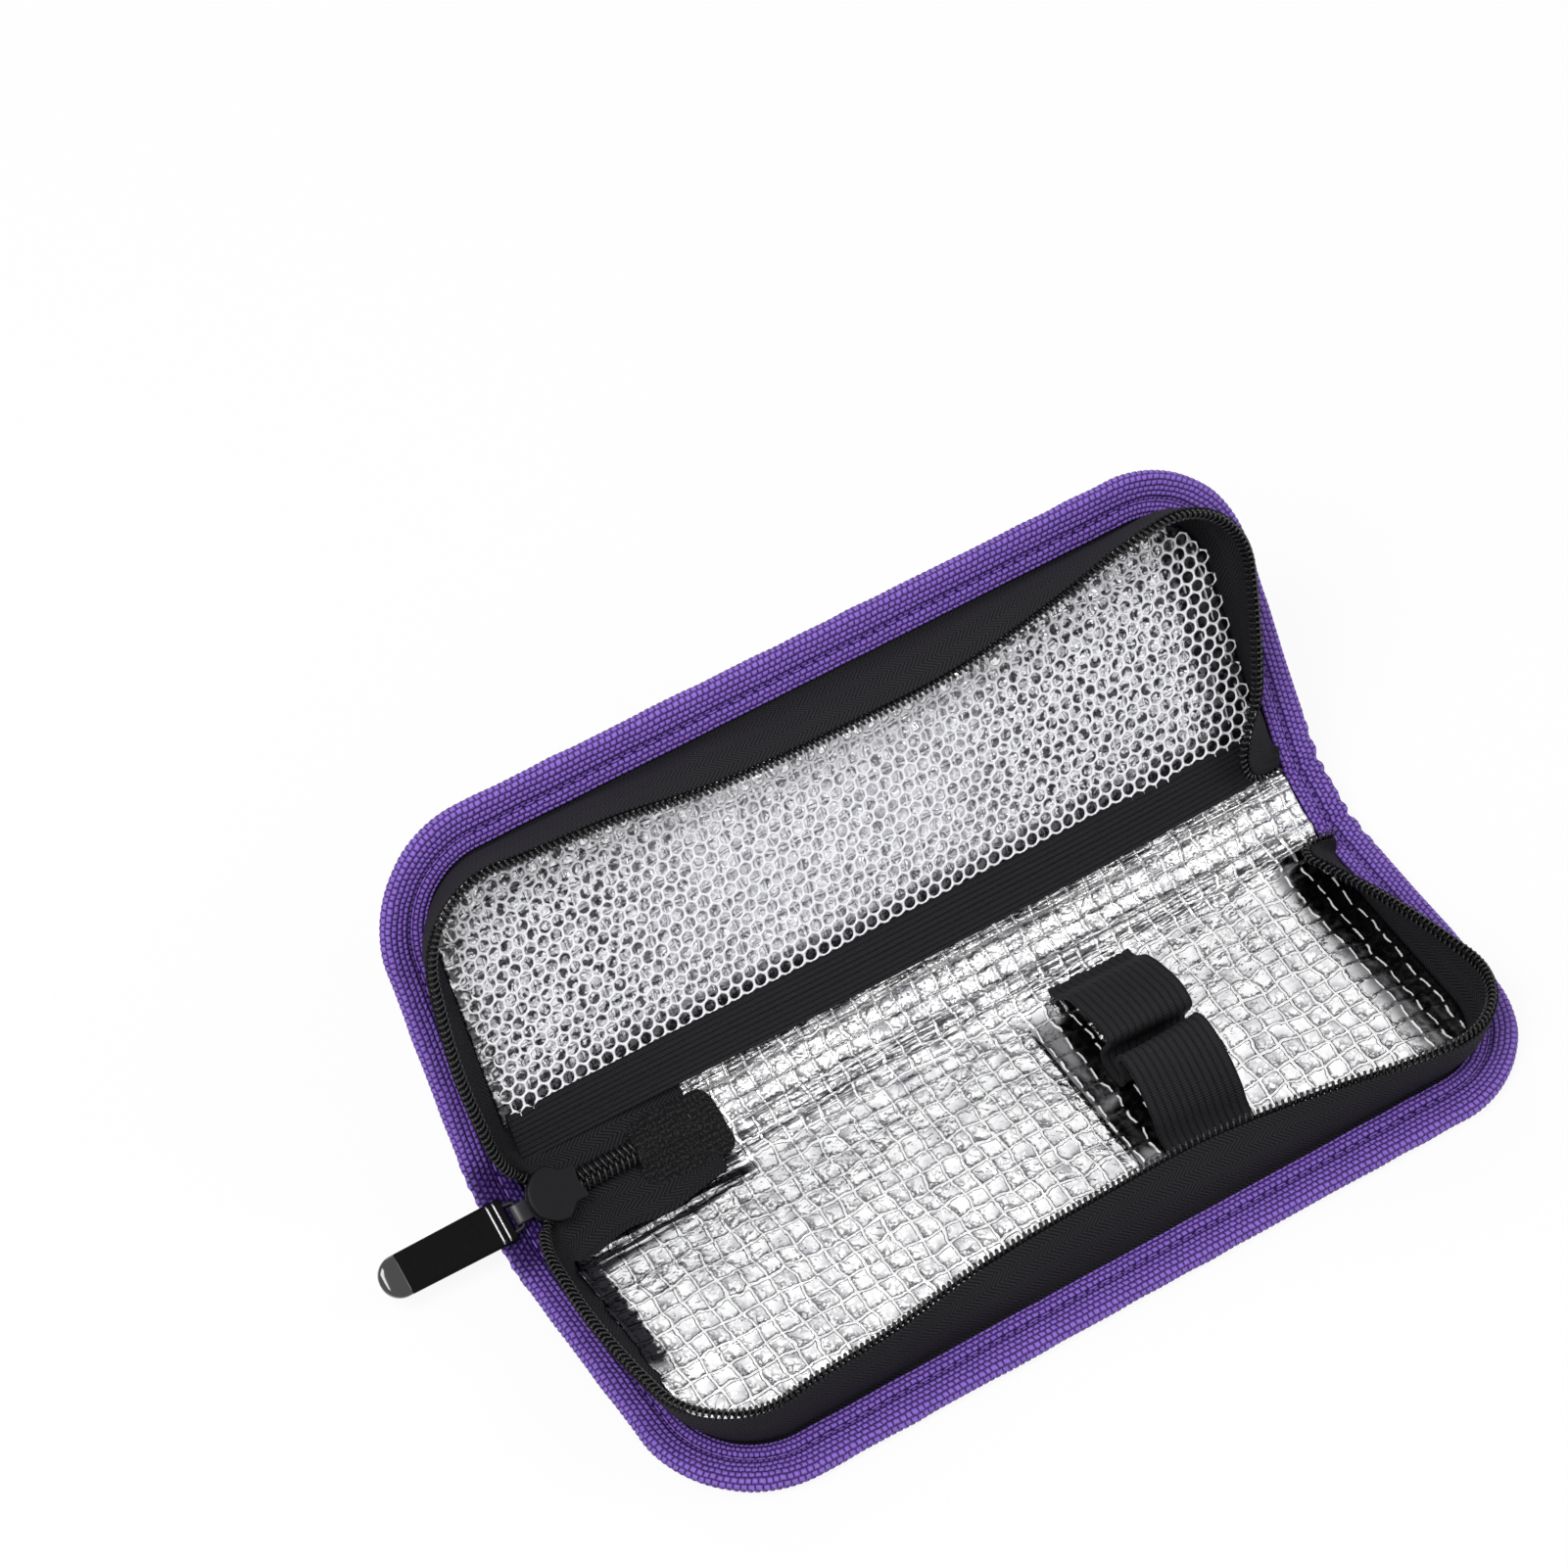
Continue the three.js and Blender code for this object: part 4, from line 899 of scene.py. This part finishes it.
def zip_line(half):
    """The edge of a half's coil, the foot of its tape, and the way its hem runs, in rows of nine.

    Along the panel the coil stands where both coils meet when the case is shut: at half the
    spine's width plus the distance from the crease times the cosine of the closed angle, divided
    by its sine. Both ends are free runs, down through the slider and round into the binding.
    """
    middle = -tail_depth - 0.9 if half == "base" else tail_depth - spine_width - 0.9
    hem_drop = -1.75
    tail = [
        (-57, middle, 0.6, -56, 3.0, 0.4),
        (-61.5, middle, 0.7, -60, 3.8, 0.4),
        (-66.5, middle, 1.2, -65, 4.8, 0.4),
        (-72, middle, 2.6, -72, 6.0, 0.4),
        (-79, middle, 3.8, -80, 4.8, 0.4),
        (-86, middle, 4.0, -86, 5.6, 0.4),
        (-91, middle, 4.0, -90.5, 6.9, 0.35),
        (-94.6, middle + 1.3, 4.3, -93, 7.8, 0.35),
        (-97.4, -3.9, 5.2, -94.3, 8.8, 0.3),
        (-99.8, 0.4, 6.9, -94.7, 10.2, 0.3),
        (-101.9, 5.2, 8.2, -94.8, 12, 0.3),
    ]
    ends = {
        "base": [(88.6, 11.6, 8.6), (87.4, 6.8, 7.5), (89.2, 3.7, 6.4), (92.6, 3.3, 5.5), (96.5, 4.4, 5.0)],
        "lid": [(86.0, 12.4, 8.8), (84.3, 7.6, 7.9), (85.6, 3.4, 6.6), (89.0, 1.7, 5.6), (93.5, 1.6, 5.1)],
    }
    feet = [(94.8, 12.4, 0.3), (94.8, 9.4, 0.3), (94.9, 7.2, 0.35), (95.3, 5.8, 0.4), (96.2, 5.2, 0.6)]
    distance = np.arange(16, edge_run - 17, 5.0)
    x, away, in_x, in_away = edge_line(distance)
    share = distance / edge_run
    table = smooth_through(np.pad(coil_inset_shares * (200, 1), ((0, 0), (0, 1))), 0.5)
    inset = coil_inset * np.interp(share * 200, table[:, 0], table[:, 1])
    depth = away + in_away * (inset + 2)
    height = (mid_spine + depth * np.cos(closed_turn)) / np.sin(closed_turn)
    lean = gone(inset, tape_foot, tape_foot + 14)
    height = height - 0.2 - 1.7 * lean
    foot_height = 0.3 - 2.4 * gone(x, 90, 100)
    panel = together(
        x + in_x * inset, away + in_away * inset, height,
        x + in_x * tape_foot, away + in_away * tape_foot, foot_height,
        -in_x, -in_away, hem_drop,
    )
    tail = [(*row, 0.0, 1.0, -0.4) for row in tail]
    right = [(*top, *foot, 1.0, 0.0, hem_drop) for top, foot in zip(ends[half], feet)]
    return smooth_through(np.concatenate([tail, panel, right]), line_step)


def zip_frame(line):
    """Directions at each row of a zip line: along it, up the tape, and out of its inner face."""
    top, foot = line[:, :3], line[:, 3:6]
    way = unit(np.gradient(top, axis=0))
    up = top - foot
    up = unit(up - (up * way).sum(1, keepdims=True) * way)
    return top, foot, way, up, np.cross(way, up)


zip_lines = {half: zip_line(half) for half in halves}
for half, line in zip_lines.items():
    top, foot, way, up, inner = zip_frame(line)
    hem = line[:, 6:9] * (1.6, 1.6, 1)
    near_hem = line[:, 6:9] * (0.3, 0.3, 0.69)
    reach = top - coil_reach * up - foot
    share = np.linspace(0, 1, 19)[None, :, None]
    run = (np.arange(len(line)) * line_step)[:, None]
    width = np.linalg.norm(reach, axis=1)[:, None]
    rise = share[..., 0]
    slack = 0.075 * width + 0.45 * rumple(run, rise * 9, 17, 8, 41) + 0.16 * rumple(run, rise * 9, 5, 4, 42)
    slack = slack * np.sin(np.pi * rise**0.8) ** 1.2 * np.clip((width - 3) / 8, 0.15, 1)
    slack = slack * np.interp(run, (34, 50), (0.4, 1))
    tape = foot[:, None] + reach[:, None] * share - inner[:, None] * slack[..., None]
    tape = np.concatenate([(foot + hem)[:, None], (foot + near_hem)[:, None], tape], axis=1)
    face = unit(np.cross(np.gradient(tape, axis=0), np.gradient(tape, axis=1)))
    sides = [tape + face * tape_thickness * side for side in (0.5, -0.5)]
    across = np.concatenate([[[-2.5, -1.2]], [np.linspace(0, 1, 19) * 14]], axis=1)
    tape_sheet = cloth_piece(
        f"{half}_zip_tape", *(folded(half, *np.moveaxis(side, -1, 0)) for side in sides),
        together(run, across), tape_finish, "zip_tape",
    )
    bend_with(tape_sheet)
    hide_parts(f"{half}_zipper_tape", *(["tail_tape"] if half == "base" else []))

# Zip coils. A nylon wire is wound into a flat spiral and sewn along the inner face of each tape
# over a filler cord. In the tail the turns of both coils stand between each other.
coil_pitch = 1.38
coil_half_width = 1.45
coil_half_height = 0.66
coil_wire = 0.37
coil_black = (0.006, 0.006, 0.007, 1)
coil_finish = Finish("black_nylon_coil", Roughness=0.22, Specular_IOR_Level=0.36, Base_Color=coil_black)


def tube(line, round_one, round_two, sides, squareness=1.0):
    """Rings round a line, from its points and two half widths with their directions.

    The cosine and sine are raised to the squareness, so below one the rings are squarish.
    """
    turn = np.linspace(0, 2 * np.pi, sides, endpoint=False)[:, None]
    cosine, sine = (np.sign(part) * np.abs(part) ** squareness for part in (np.cos(turn), np.sin(turn)))
    one, two = (np.broadcast_to(reach, line.shape)[:, None] for reach in (round_one, round_two))
    return line[:, None] + cosine * one + sine * two


def rolled_out(rings, length, girth):
    """Where a tube's skin lies when it is slit and rolled out, in millimetres."""
    rows, sides = rings.shape[:2]
    return together(np.linspace(0, length, rows)[:, None], np.linspace(0, girth, sides + 1))


for half, line in zip_lines.items():
    top, foot, way, up, inner = zip_frame(line)
    run = np.arange(len(line)) * line_step
    stand_off = tape_thickness / 2 + coil_half_height + coil_wire
    middle = top - up * (coil_half_width + coil_wire) + inner * stand_off
    turns = run[-1] / coil_pitch
    at = np.linspace(0, run[-1], int(turns * 12))
    centre, rise, side = (read_off(part, run, at) for part in (middle, up, inner))
    angle = (at / coil_pitch * 2 * np.pi + (np.pi if half == "lid" else 0))[:, None]
    wire = centre + coil_half_width * np.cos(angle) * rise + coil_half_height * np.sin(angle) * side
    outward = unit(np.cos(angle) * rise / coil_half_width + np.sin(angle) * side / coil_half_height)
    across = unit(np.cross(unit(np.gradient(wire, axis=0)), outward))
    rings = tube(wire, outward * coil_wire, across * coil_wire, 5)
    coil = rope_piece(
        f"{half}_zip_coil", folded(half, *np.moveaxis(rings, -1, 0)),
        rolled_out(rings, turns * 5, 2), coil_finish,
    )
    cord = tube(middle, up * 0.6, inner * 0.34, 6)
    filler = rope_piece(
        f"{half}_zip_filler_cord", folded(half, *np.moveaxis(cord, -1, 0)),
        rolled_out(cord, run[-1], 3), tape_finish,
    )
    bend_with(coil)
    bend_with(filler)
    tail_coil = "tail_coil_front" if half == "base" else "tail_coil_back"
    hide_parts(f"{half}_zipper_coil", tail_coil)

# Pen loops. One ribbed elastic is sewn down in three places, so that it stands in two arches that
# lean against each other. Its two edges are drawn through knots of their own.
loop_width = 20.2
loop_thickness = 0.9
rib_pitch = 1.66
elastic_finish = Finish("black_ribbed_elastic", Roughness=0.7, Specular_IOR_Level=0.16)
along, across = elastic_finish.cloth()[1:]
knit = abs((along / 0.55) % 1 - 0.5) * 2
rib_top = abs((across / rib_pitch) % 1 - 0.5).fade(0.28, 0.5)
elastic_fibre = elastic_finish.noise(elastic_finish.vector(along * 0.6, across * 3), 1.5, 3)
elastic_light = (knit * 0.4 + elastic_fibre * 0.7 + rib_top * 0.4).ramp(0.3, 1.3)
elastic_finish.colour(elastic_light, (0.003, 0.003, 0.0035), (0.02, 0.0195, 0.023))
elastic_finish.relief(knit * 0.4 + elastic_fibre * 0.6 + rib_top * 0.7, 0.0003)


loop_edges = [
    [
        (2.4, -0.1), (4.0, 0.2), (10.8, 6.3), (16.5, 8.1), (22.0, 9.4), (25.4, 9.2), (25.0, 6.2),
        (23.9, 3.4), (25.0, 0.7), (28.2, 0.0), (31.4, 1.0), (31.9, 4.2), (29.9, 7.4), (31.2, 10.2),
        (34.7, 10.1), (39.7, 7.6), (44.2, 4.2), (48.0, 0.4), (50.4, -0.1),
    ],
    [
        (3.0, -0.1), (4.6, 0.2), (10.9, 6.4), (17.8, 9.6), (23.4, 10.6), (26.4, 9.2), (25.8, 6.2),
        (24.6, 3.4), (25.4, 0.7), (27.6, 0.0), (29.4, 1.0), (29.4, 4.2), (29.0, 7.8), (32.6, 10.6),
        (37.2, 10.2), (42.0, 8.1), (46.2, 5.0), (49.9, 0.8), (52.0, -0.1),
    ],
]
loop_step = 0.5
loop_edges = [smooth_through(knots, loop_step) for knots in loop_edges]
loop_rows = len(loop_edges[0])


def resampled(line, count):
    """A line of places with a new number of points, in between by straight steps."""
    return read_off(line, np.linspace(0, 1, len(line)), np.linspace(0, 1, count))


loop_edges = np.stack([resampled(edge, loop_rows) for edge in loop_edges])
loop_across = np.linspace(0, loop_width, 97)
ribs = 0.16 * np.abs(np.sin(np.pi * loop_across / rib_pitch)) ** 0.7
edge_thread = 0.12 * (np.minimum(loop_across, loop_width - loop_across) < 0.5)
bulk = (loop_thickness / 2 - 0.1 + ribs + edge_thread)[None, :, None]
loop_share = (loop_across / loop_width)[None, :, None]
loop_line = loop_edges[0][:, None] * (1 - loop_share) + loop_edges[1][:, None] * loop_share
loop_way = unit(np.gradient(loop_line, axis=0))
loop_out = together(-loop_way[..., 1], loop_way[..., 0])
loop_faces = [loop_line + side * bulk * loop_out for side in (1, -1)]
loop_x = np.linspace(24.0, 21.4, loop_rows)[:, None] + loop_across
loops = cloth_piece(
    "pen_loop_elastic", *(folded("base", loop_x, face[..., 0], face[..., 1]) for face in loop_faces),
    together((np.arange(loop_rows) * loop_step)[:, None], loop_across), elastic_finish, "elastic",
)
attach(loops, "base")
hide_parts("pen_loops")

# Pocket band. A flat elastic with fine ribs along it holds the mouth of the net. Its lower edge
# stands off the lining.
band_low, band_high = 0.6, 11.6
band_left, band_right = -93.5, 88
band_x = np.linspace(band_left, band_right, 260)[:, None]
band_across = np.linspace(0, 1, 67)[None]
band_bow = np.sin(np.pi / 2 * gone(band_x, band_left, band_left + 88)) ** 3.2
band_bow = band_bow * np.sin(np.pi / 2 * gone(band_x, band_right, band_right - 60)) ** 0.7
band_height = 1.1 + band_bow * (2.9 * (1 - band_across) ** 1.3 + 0.5 * band_across)
band_height = band_height + 0.25 * rumple(band_x, band_across * 4, 26, 8, 51)
band_away = band_low + (band_high - band_low) * band_across - 0.35 * band_bow
fine_ribs = 0.07 * np.abs(np.sin(np.pi * band_across * 11))
band_faces = [band_height + fine_ribs + 0.35, band_height - 0.35]
band = cloth_piece(
    "pocket_elastic_band", *(folded("lid", band_x, band_away, face) for face in band_faces),
    together(band_x + 100, band_across * 15.3), elastic_finish, "elastic",
)
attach(band, "lid")
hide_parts("pocket_elastic")

# Net. A soft white knitted net with round holes covers the lid's lining as a pocket. Every cell
# is a ring between its six sides and its round hole, thickest at the sides.
net_pitch = 3.06
net_hole = 1.27
net_thickness = 0.42
net_finish = Finish("white_knitted_net", Roughness=0.45, Base_Color=(0.93, 0.93, 0.98, 1))


def net_height(x, away):
    """How far the net hangs off the lid: a low bow, soft waves, and the band's height at its mouth."""
    share = gone(away, 10.5, 63.5)
    bow = 1.1 * np.sin(np.pi * share) * (1 - np.abs(x / 96) ** 4)
    hung = 0.9 * gone(away, 22, 34) * gone(np.abs(x), 82, 90)
    return 1.35 + bow + hung + 0.5 * rumple(x, away, 13, 11, 61) + 0.25 * rumple(x, away, 5, 5, 62)


row_step = net_pitch * np.sqrt(3) / 2
row, column = np.meshgrid(np.arange(22), np.arange(-34, 35), indexing="ij")
cell_x, cell_away = (column + 0.5 * (row % 2)) * net_pitch, 10.2 + row * row_step
kept = inset_at(cell_x, cell_away) > 11.9
centres = together(cell_x[kept], cell_away[kept])
cell_sides = 12
is_corner = np.arange(cell_sides) % 2 == 0
turn = np.radians(30 * np.arange(cell_sides) + 30)
round_cell = together(np.cos(turn), np.sin(turn))
outer_round = (net_pitch / np.sqrt(3) * np.where(is_corner, 1, np.sqrt(3) / 2))[:, None] * round_cell
outer = np.round(centres[:, None] + outer_round, 4)
_, place, times = np.unique(outer.reshape(-1, 2), axis=0, return_inverse=True, return_counts=True)
shared = times[place.ravel()].reshape(outer.shape[:2])
at_rim = shared < np.where(is_corner, 3, 2)
hole = centres[:, None] + net_hole * round_cell
thick = np.where(at_rim, 0, net_thickness / 2)
flat = np.concatenate([outer, hole, outer], axis=1)
lift = np.concatenate([thick, thick * 0, -thick], axis=1)
flat_x, flat_away = np.moveaxis(flat, -1, 0)
net_x = flat_x + 0.16 * rumple(flat_x, flat_away, 7, 5, 64)
net_away = flat_away + 0.16 * rumple(flat_x, flat_away, 5, 7, 65)
net_points = folded("lid", net_x, net_away, net_height(net_x, net_away) + lift)
first_corners = 3 * cell_sides * np.arange(len(centres))[:, None, None]
net_faces = (grid_faces(3, cell_sides, ring=True) + first_corners).reshape(-1, 4)
net = make_piece(
    "pocket_net", net_points.reshape(-1, 3), net_faces, flat.reshape(-1, 2)[net_faces], net_finish,
)
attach(net, "lid")
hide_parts("mesh_pocket")

# Tail cover. A piece of black pile fabric is folded over the end of the zip and sewn to the spine.
velvet_finish = Finish("black_pile_fabric", Roughness=0.85, Specular_IOR_Level=0.2)
spot, along, across = velvet_finish.cloth()
pile = velvet_finish.noise(spot, 1.9, 3)
rows_of_pile = abs((across / 1.3 + velvet_finish.noise(spot, 0.4, 2)) % 1 - 0.5) * 2
pile_light = (pile + rows_of_pile * 0.12).ramp(0.5, 0.75)
velvet_finish.colour(pile_light, (0.002, 0.002, 0.0025), (0.032, 0.031, 0.034))
velvet_finish.relief(pile + rows_of_pile * 0.25, 0.0007)


def on_spine(places):
    """Puts places on the flat spine into the model's frame: x, depth from the base's crease, height."""
    up = np.array([-spine_way[1], spine_way[0]])
    x, depth, height = (places[..., axis, None] for axis in range(3))
    return np.concatenate([x, base_crease + depth * spine_way + height * up], axis=-1) / 1000


def spine_piece(name, rings, laid, finish, slot, body):
    """A rope piece whose rings are places on the spine. It rides on one body."""
    piece = rope_piece(name, on_spine(rings), laid, finish)
    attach(piece, body)
    return piece


def layered(name, rings, heights, *options):
    """A spine piece made of flat outlines above each other, laid out as it is seen from above."""
    laid = np.concatenate([rings, rings[:, :1]], axis=1)
    heights = np.broadcast_to(heights, rings.shape[:2])
    return spine_piece(name, np.dstack([rings, heights]), laid, *options)


def rounded(corners, times=3):
    """A closed outline whose corners are cut again and again at a quarter of each side."""
    outline = np.asarray(corners, float)
    for _ in range(times):
        after = np.roll(outline, -1, axis=0)
        cuts = [outline * 0.75 + after * 0.25, outline * 0.25 + after * 0.75]
        outline = np.stack(cuts, axis=1).reshape(-1, 2)
    return outline


def shrunk(outline, reach):
    """An outline drawn in towards its middle by about a reach."""
    middle = outline.mean(axis=0)
    spread = outline - middle
    return middle + spread * (1 - reach / np.linalg.norm(spread, axis=1).mean())


patch = rounded([
    (-73.2, -1.1), (-72.4, 7), (-72.2, 13.4), (-66, 13.8), (-59, 13.3), (-52.0, 13.8), (-51.6, 7),
    (-50.8, -1.2), (-58, -1.5), (-66, -0.9),
], 2)
patch_reaches = (0.5, 0.1, 0, 0.15, 0.5, 1.2, 2.2, 3.4, 4.7, 6, 7.2, 8.3, 9.2, 9.9)
patch_rings = np.stack([shrunk(patch, reach) for reach in patch_reaches])
patch_x, patch_depth = np.moveaxis(patch_rings, -1, 0)
over_tail = np.exp(-(((patch_depth - tail_depth) / 4.0) ** 2)) * np.clip((-46 - patch_x) / 20, 0.6, 1.3)
puffed = 1.15 + 3.2 * over_tail + 0.3 * rumple(patch_x, patch_depth, 3.3, 3.1, 71)
risen = np.array([0, 0.15, 0.4, 0.8] + [1] * 10)[:, None]
patch_height = 0.3 + (puffed - 0.3) * risen
tail_cover = layered("zip_tail_cover", patch_rings, patch_height, velvet_finish, "velvet", "spine")
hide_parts("tail_end_cover")

# Slider. A cast and black painted body, seen from its plain back. Two plates hold the coils
# between them, joined by a wedge at the nose, and a strap at the nose carries the pull.
slider_finish = Finish("black_slider_paint", Roughness=0.42, Specular_IOR_Level=0.14)
slider_finish.speckle(2.2, 2, (0.004, 0.004, 0.005), (0.008, 0.008, 0.0095), 0.00003)


def plate(name, outline, low, high, edge):
    """A flat part of the slider with rounded edges, between two heights over the spine."""
    reaches = np.array([edge, edge * 0.3, 0, 0, edge * 0.3, edge, edge * 2.5])
    low_edge, high_edge = low + edge, high - edge
    heights = np.array([low, low + edge * 0.3, low_edge, high_edge, high - edge * 0.3, high, high + 0.03])
    rings = np.stack([shrunk(outline, reach) for reach in reaches])
    return layered(name, rings, heights[:, None], slider_finish, "slider_metal", "slider")


back_plate = rounded([
    (-97.9, 6.2), (-96.9, 3.9), (-94.6, 2.0), (-91.9, 1.4), (-90.6, 2.4), (-89.4, 3.7), (-87.9, 3.9),
    (-86.0, 3.7), (-86.1, 5.2), (-86.7, 7.5), (-86.1, 9.8), (-86.0, 11.3), (-87.9, 11.1), (-89.4, 11.4),
    (-90.6, 12.6), (-91.9, 13.6), (-94.6, 13.0), (-96.9, 11.1), (-97.9, 8.8),
], 2)
slider = plate("slider_back_plate", back_plate, 6.15, 7.3, 0.28)
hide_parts("slider_body")
plate("slider_front_plate", shrunk(back_plate, 0.3), 2.2, 3.1, 0.2)
plate("slider_wedge", rounded([(-96.6, 7.5), (-94.6, 6.6), (-92.2, 7.5), (-94.6, 8.4)], 2), 2.8, 6.4, 0.1)
flange = [
    (-93.6, 4.9), (-92.2, 5.0), (-90.4, 4.1), (-89.0, 3.5),
    (-89.0, 4.1), (-90.2, 4.8), (-91.9, 5.7), (-93.6, 5.6),
]
for side, name in ((-1, "low"), (1, "high")):
    wall = rounded([(wall_x, tail_depth + side * reach) for wall_x, reach in flange], 2)
    plate(f"slider_flange_{name}", wall, 4.4, 6.5, 0.12)

link_x, link_height = -99.3, 1.7
sideways, upwards = np.array([0, 1.0, 0]), np.array([0, 0, 1.0])
turn = np.linspace(0.42 * np.pi, 1.55 * np.pi, 22)
hook = together(link_x + 1.35 * np.cos(turn), tail_depth, link_height + 1.05 * np.sin(turn))
strap_start = [(-96.2, tail_depth, 2.65), (-97.6, tail_depth, 2.8)]
strap_line = np.concatenate([strap_start, hook, [(-97.9, tail_depth, 0.72)]])
strap_out = np.cross(unit(np.gradient(strap_line, axis=0)), sideways)
strap = tube(strap_line, sideways * 2.1, strap_out * 0.36, 20, 0.4)
strap_finish = Finish("worn_black_metal", Metallic=0.6, Roughness=0.4, Base_Color=(0.05, 0.05, 0.055, 1))
strap_laid = rolled_out(strap, 9, 9)
spine_piece("slider_pull_strap", strap, strap_laid, strap_finish, "slider_metal", "slider")

# Pull. A wire link through the strap holds a long black moulded tab with a polished round tip and
# two bright bars across its root.
link_finish = Finish("black_wire", Roughness=0.25, Base_Color=(0.02, 0.02, 0.023, 1))
link_knots = [
    (-104.3, 7.5), (-104.3, 9.2), (-103.9, 10.1), (-103.0, 10.4), (-100.7, 10.4), (-99.7, 10.1),
    (-99.3, 9.3), (-99.3, 5.7), (-99.7, 4.9), (-100.7, 4.6), (-103.0, 4.6), (-103.9, 4.9),
    (-104.3, 5.8), (-104.3, 7.5),
]
link_line = smooth_through([(x, depth, link_height) for x, depth in link_knots], 0.25)
link_way = unit(np.gradient(link_line, axis=0))
link_side = np.cross(link_way, upwards)
link_rings = tube(link_line, link_side * 0.46, upwards * 0.46, 12)
link_laid = rolled_out(link_rings, 22, 3)
link = spine_piece("pull_link_wire", link_rings, link_laid, link_finish, "link_metal", "pull")
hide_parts("pull_link")

tab_finish = Finish("black_moulded_pull", Roughness=0.35, Specular_IOR_Level=0.05)
tab_finish.speckle(1.2, 3, (0.003, 0.003, 0.0035), (0.006, 0.006, 0.0065), 0.00004)
tip_black = (0.01, 0.01, 0.011, 1)
tip_finish = Finish("polished_black_tip", Roughness=0.12, Base_Color=tip_black, Coat_Weight=0.6)
tab_root, tab_tip, tip_radius, tab_half_width = -101.9, -131.8, 4.3, 4.7


def tongue(name, from_x, to_x, thick, finish):
    """A length of the tab: a squarish section, rounded over at its start.

    At the tip its width goes down as the root of one less the square of the share of the tip's
    radius, and its thickness as the root of one less the cube.
    """
    turn = np.linspace(0, np.pi / 2, 8)
    start = from_x - 0.4 * (1 - np.cos(turn))
    x = np.concatenate([start, np.linspace(start[-1], to_x, 40)[1:]])
    eased = np.concatenate([0.75 + 0.25 * np.sin(turn), np.ones(39)])
    past = np.clip((tab_tip + tip_radius - x) / tip_radius, 0, 0.9995)
    width = (tab_half_width - 0.25 * gone(x, tab_root, tab_root - 28)) * np.sqrt(1 - past**2)
    height = thick * np.sqrt(1 - past**3) * eased
    line = together(x, tail_depth, link_height)
    rings = tube(line, sideways * width[:, None], upwards * height[:, None], 44, 0.42)
    return spine_piece(name, rings, rolled_out(rings, 28, 20), finish, "pull_plastic", "pull")


tab = tongue("pull_tab_body", tab_root, -127.3, 0.95, tab_finish)
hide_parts("pull_tab")
tongue("pull_tab_tip", -126.6, tab_tip, 1.35, tip_finish)
bar_finish = Finish("bright_bar", Metallic=0.9, Roughness=0.3, Base_Color=(0.4, 0.4, 0.42, 1))
bar_ends = np.linspace(-4.25, 4.25, 12)
for order, bar_x in enumerate((-103.6, -105.1)):
    bar_line = together(bar_x, tail_depth + bar_ends, link_height + 0.98)
    bar = tube(bar_line, (0.26, 0, 0), (0, 0, 0.2), 10)
    bar_name = f"pull_tab_bar_{order + 1}"
    spine_piece(bar_name, bar, rolled_out(bar, 9, 2), bar_finish, "link_metal", "pull")
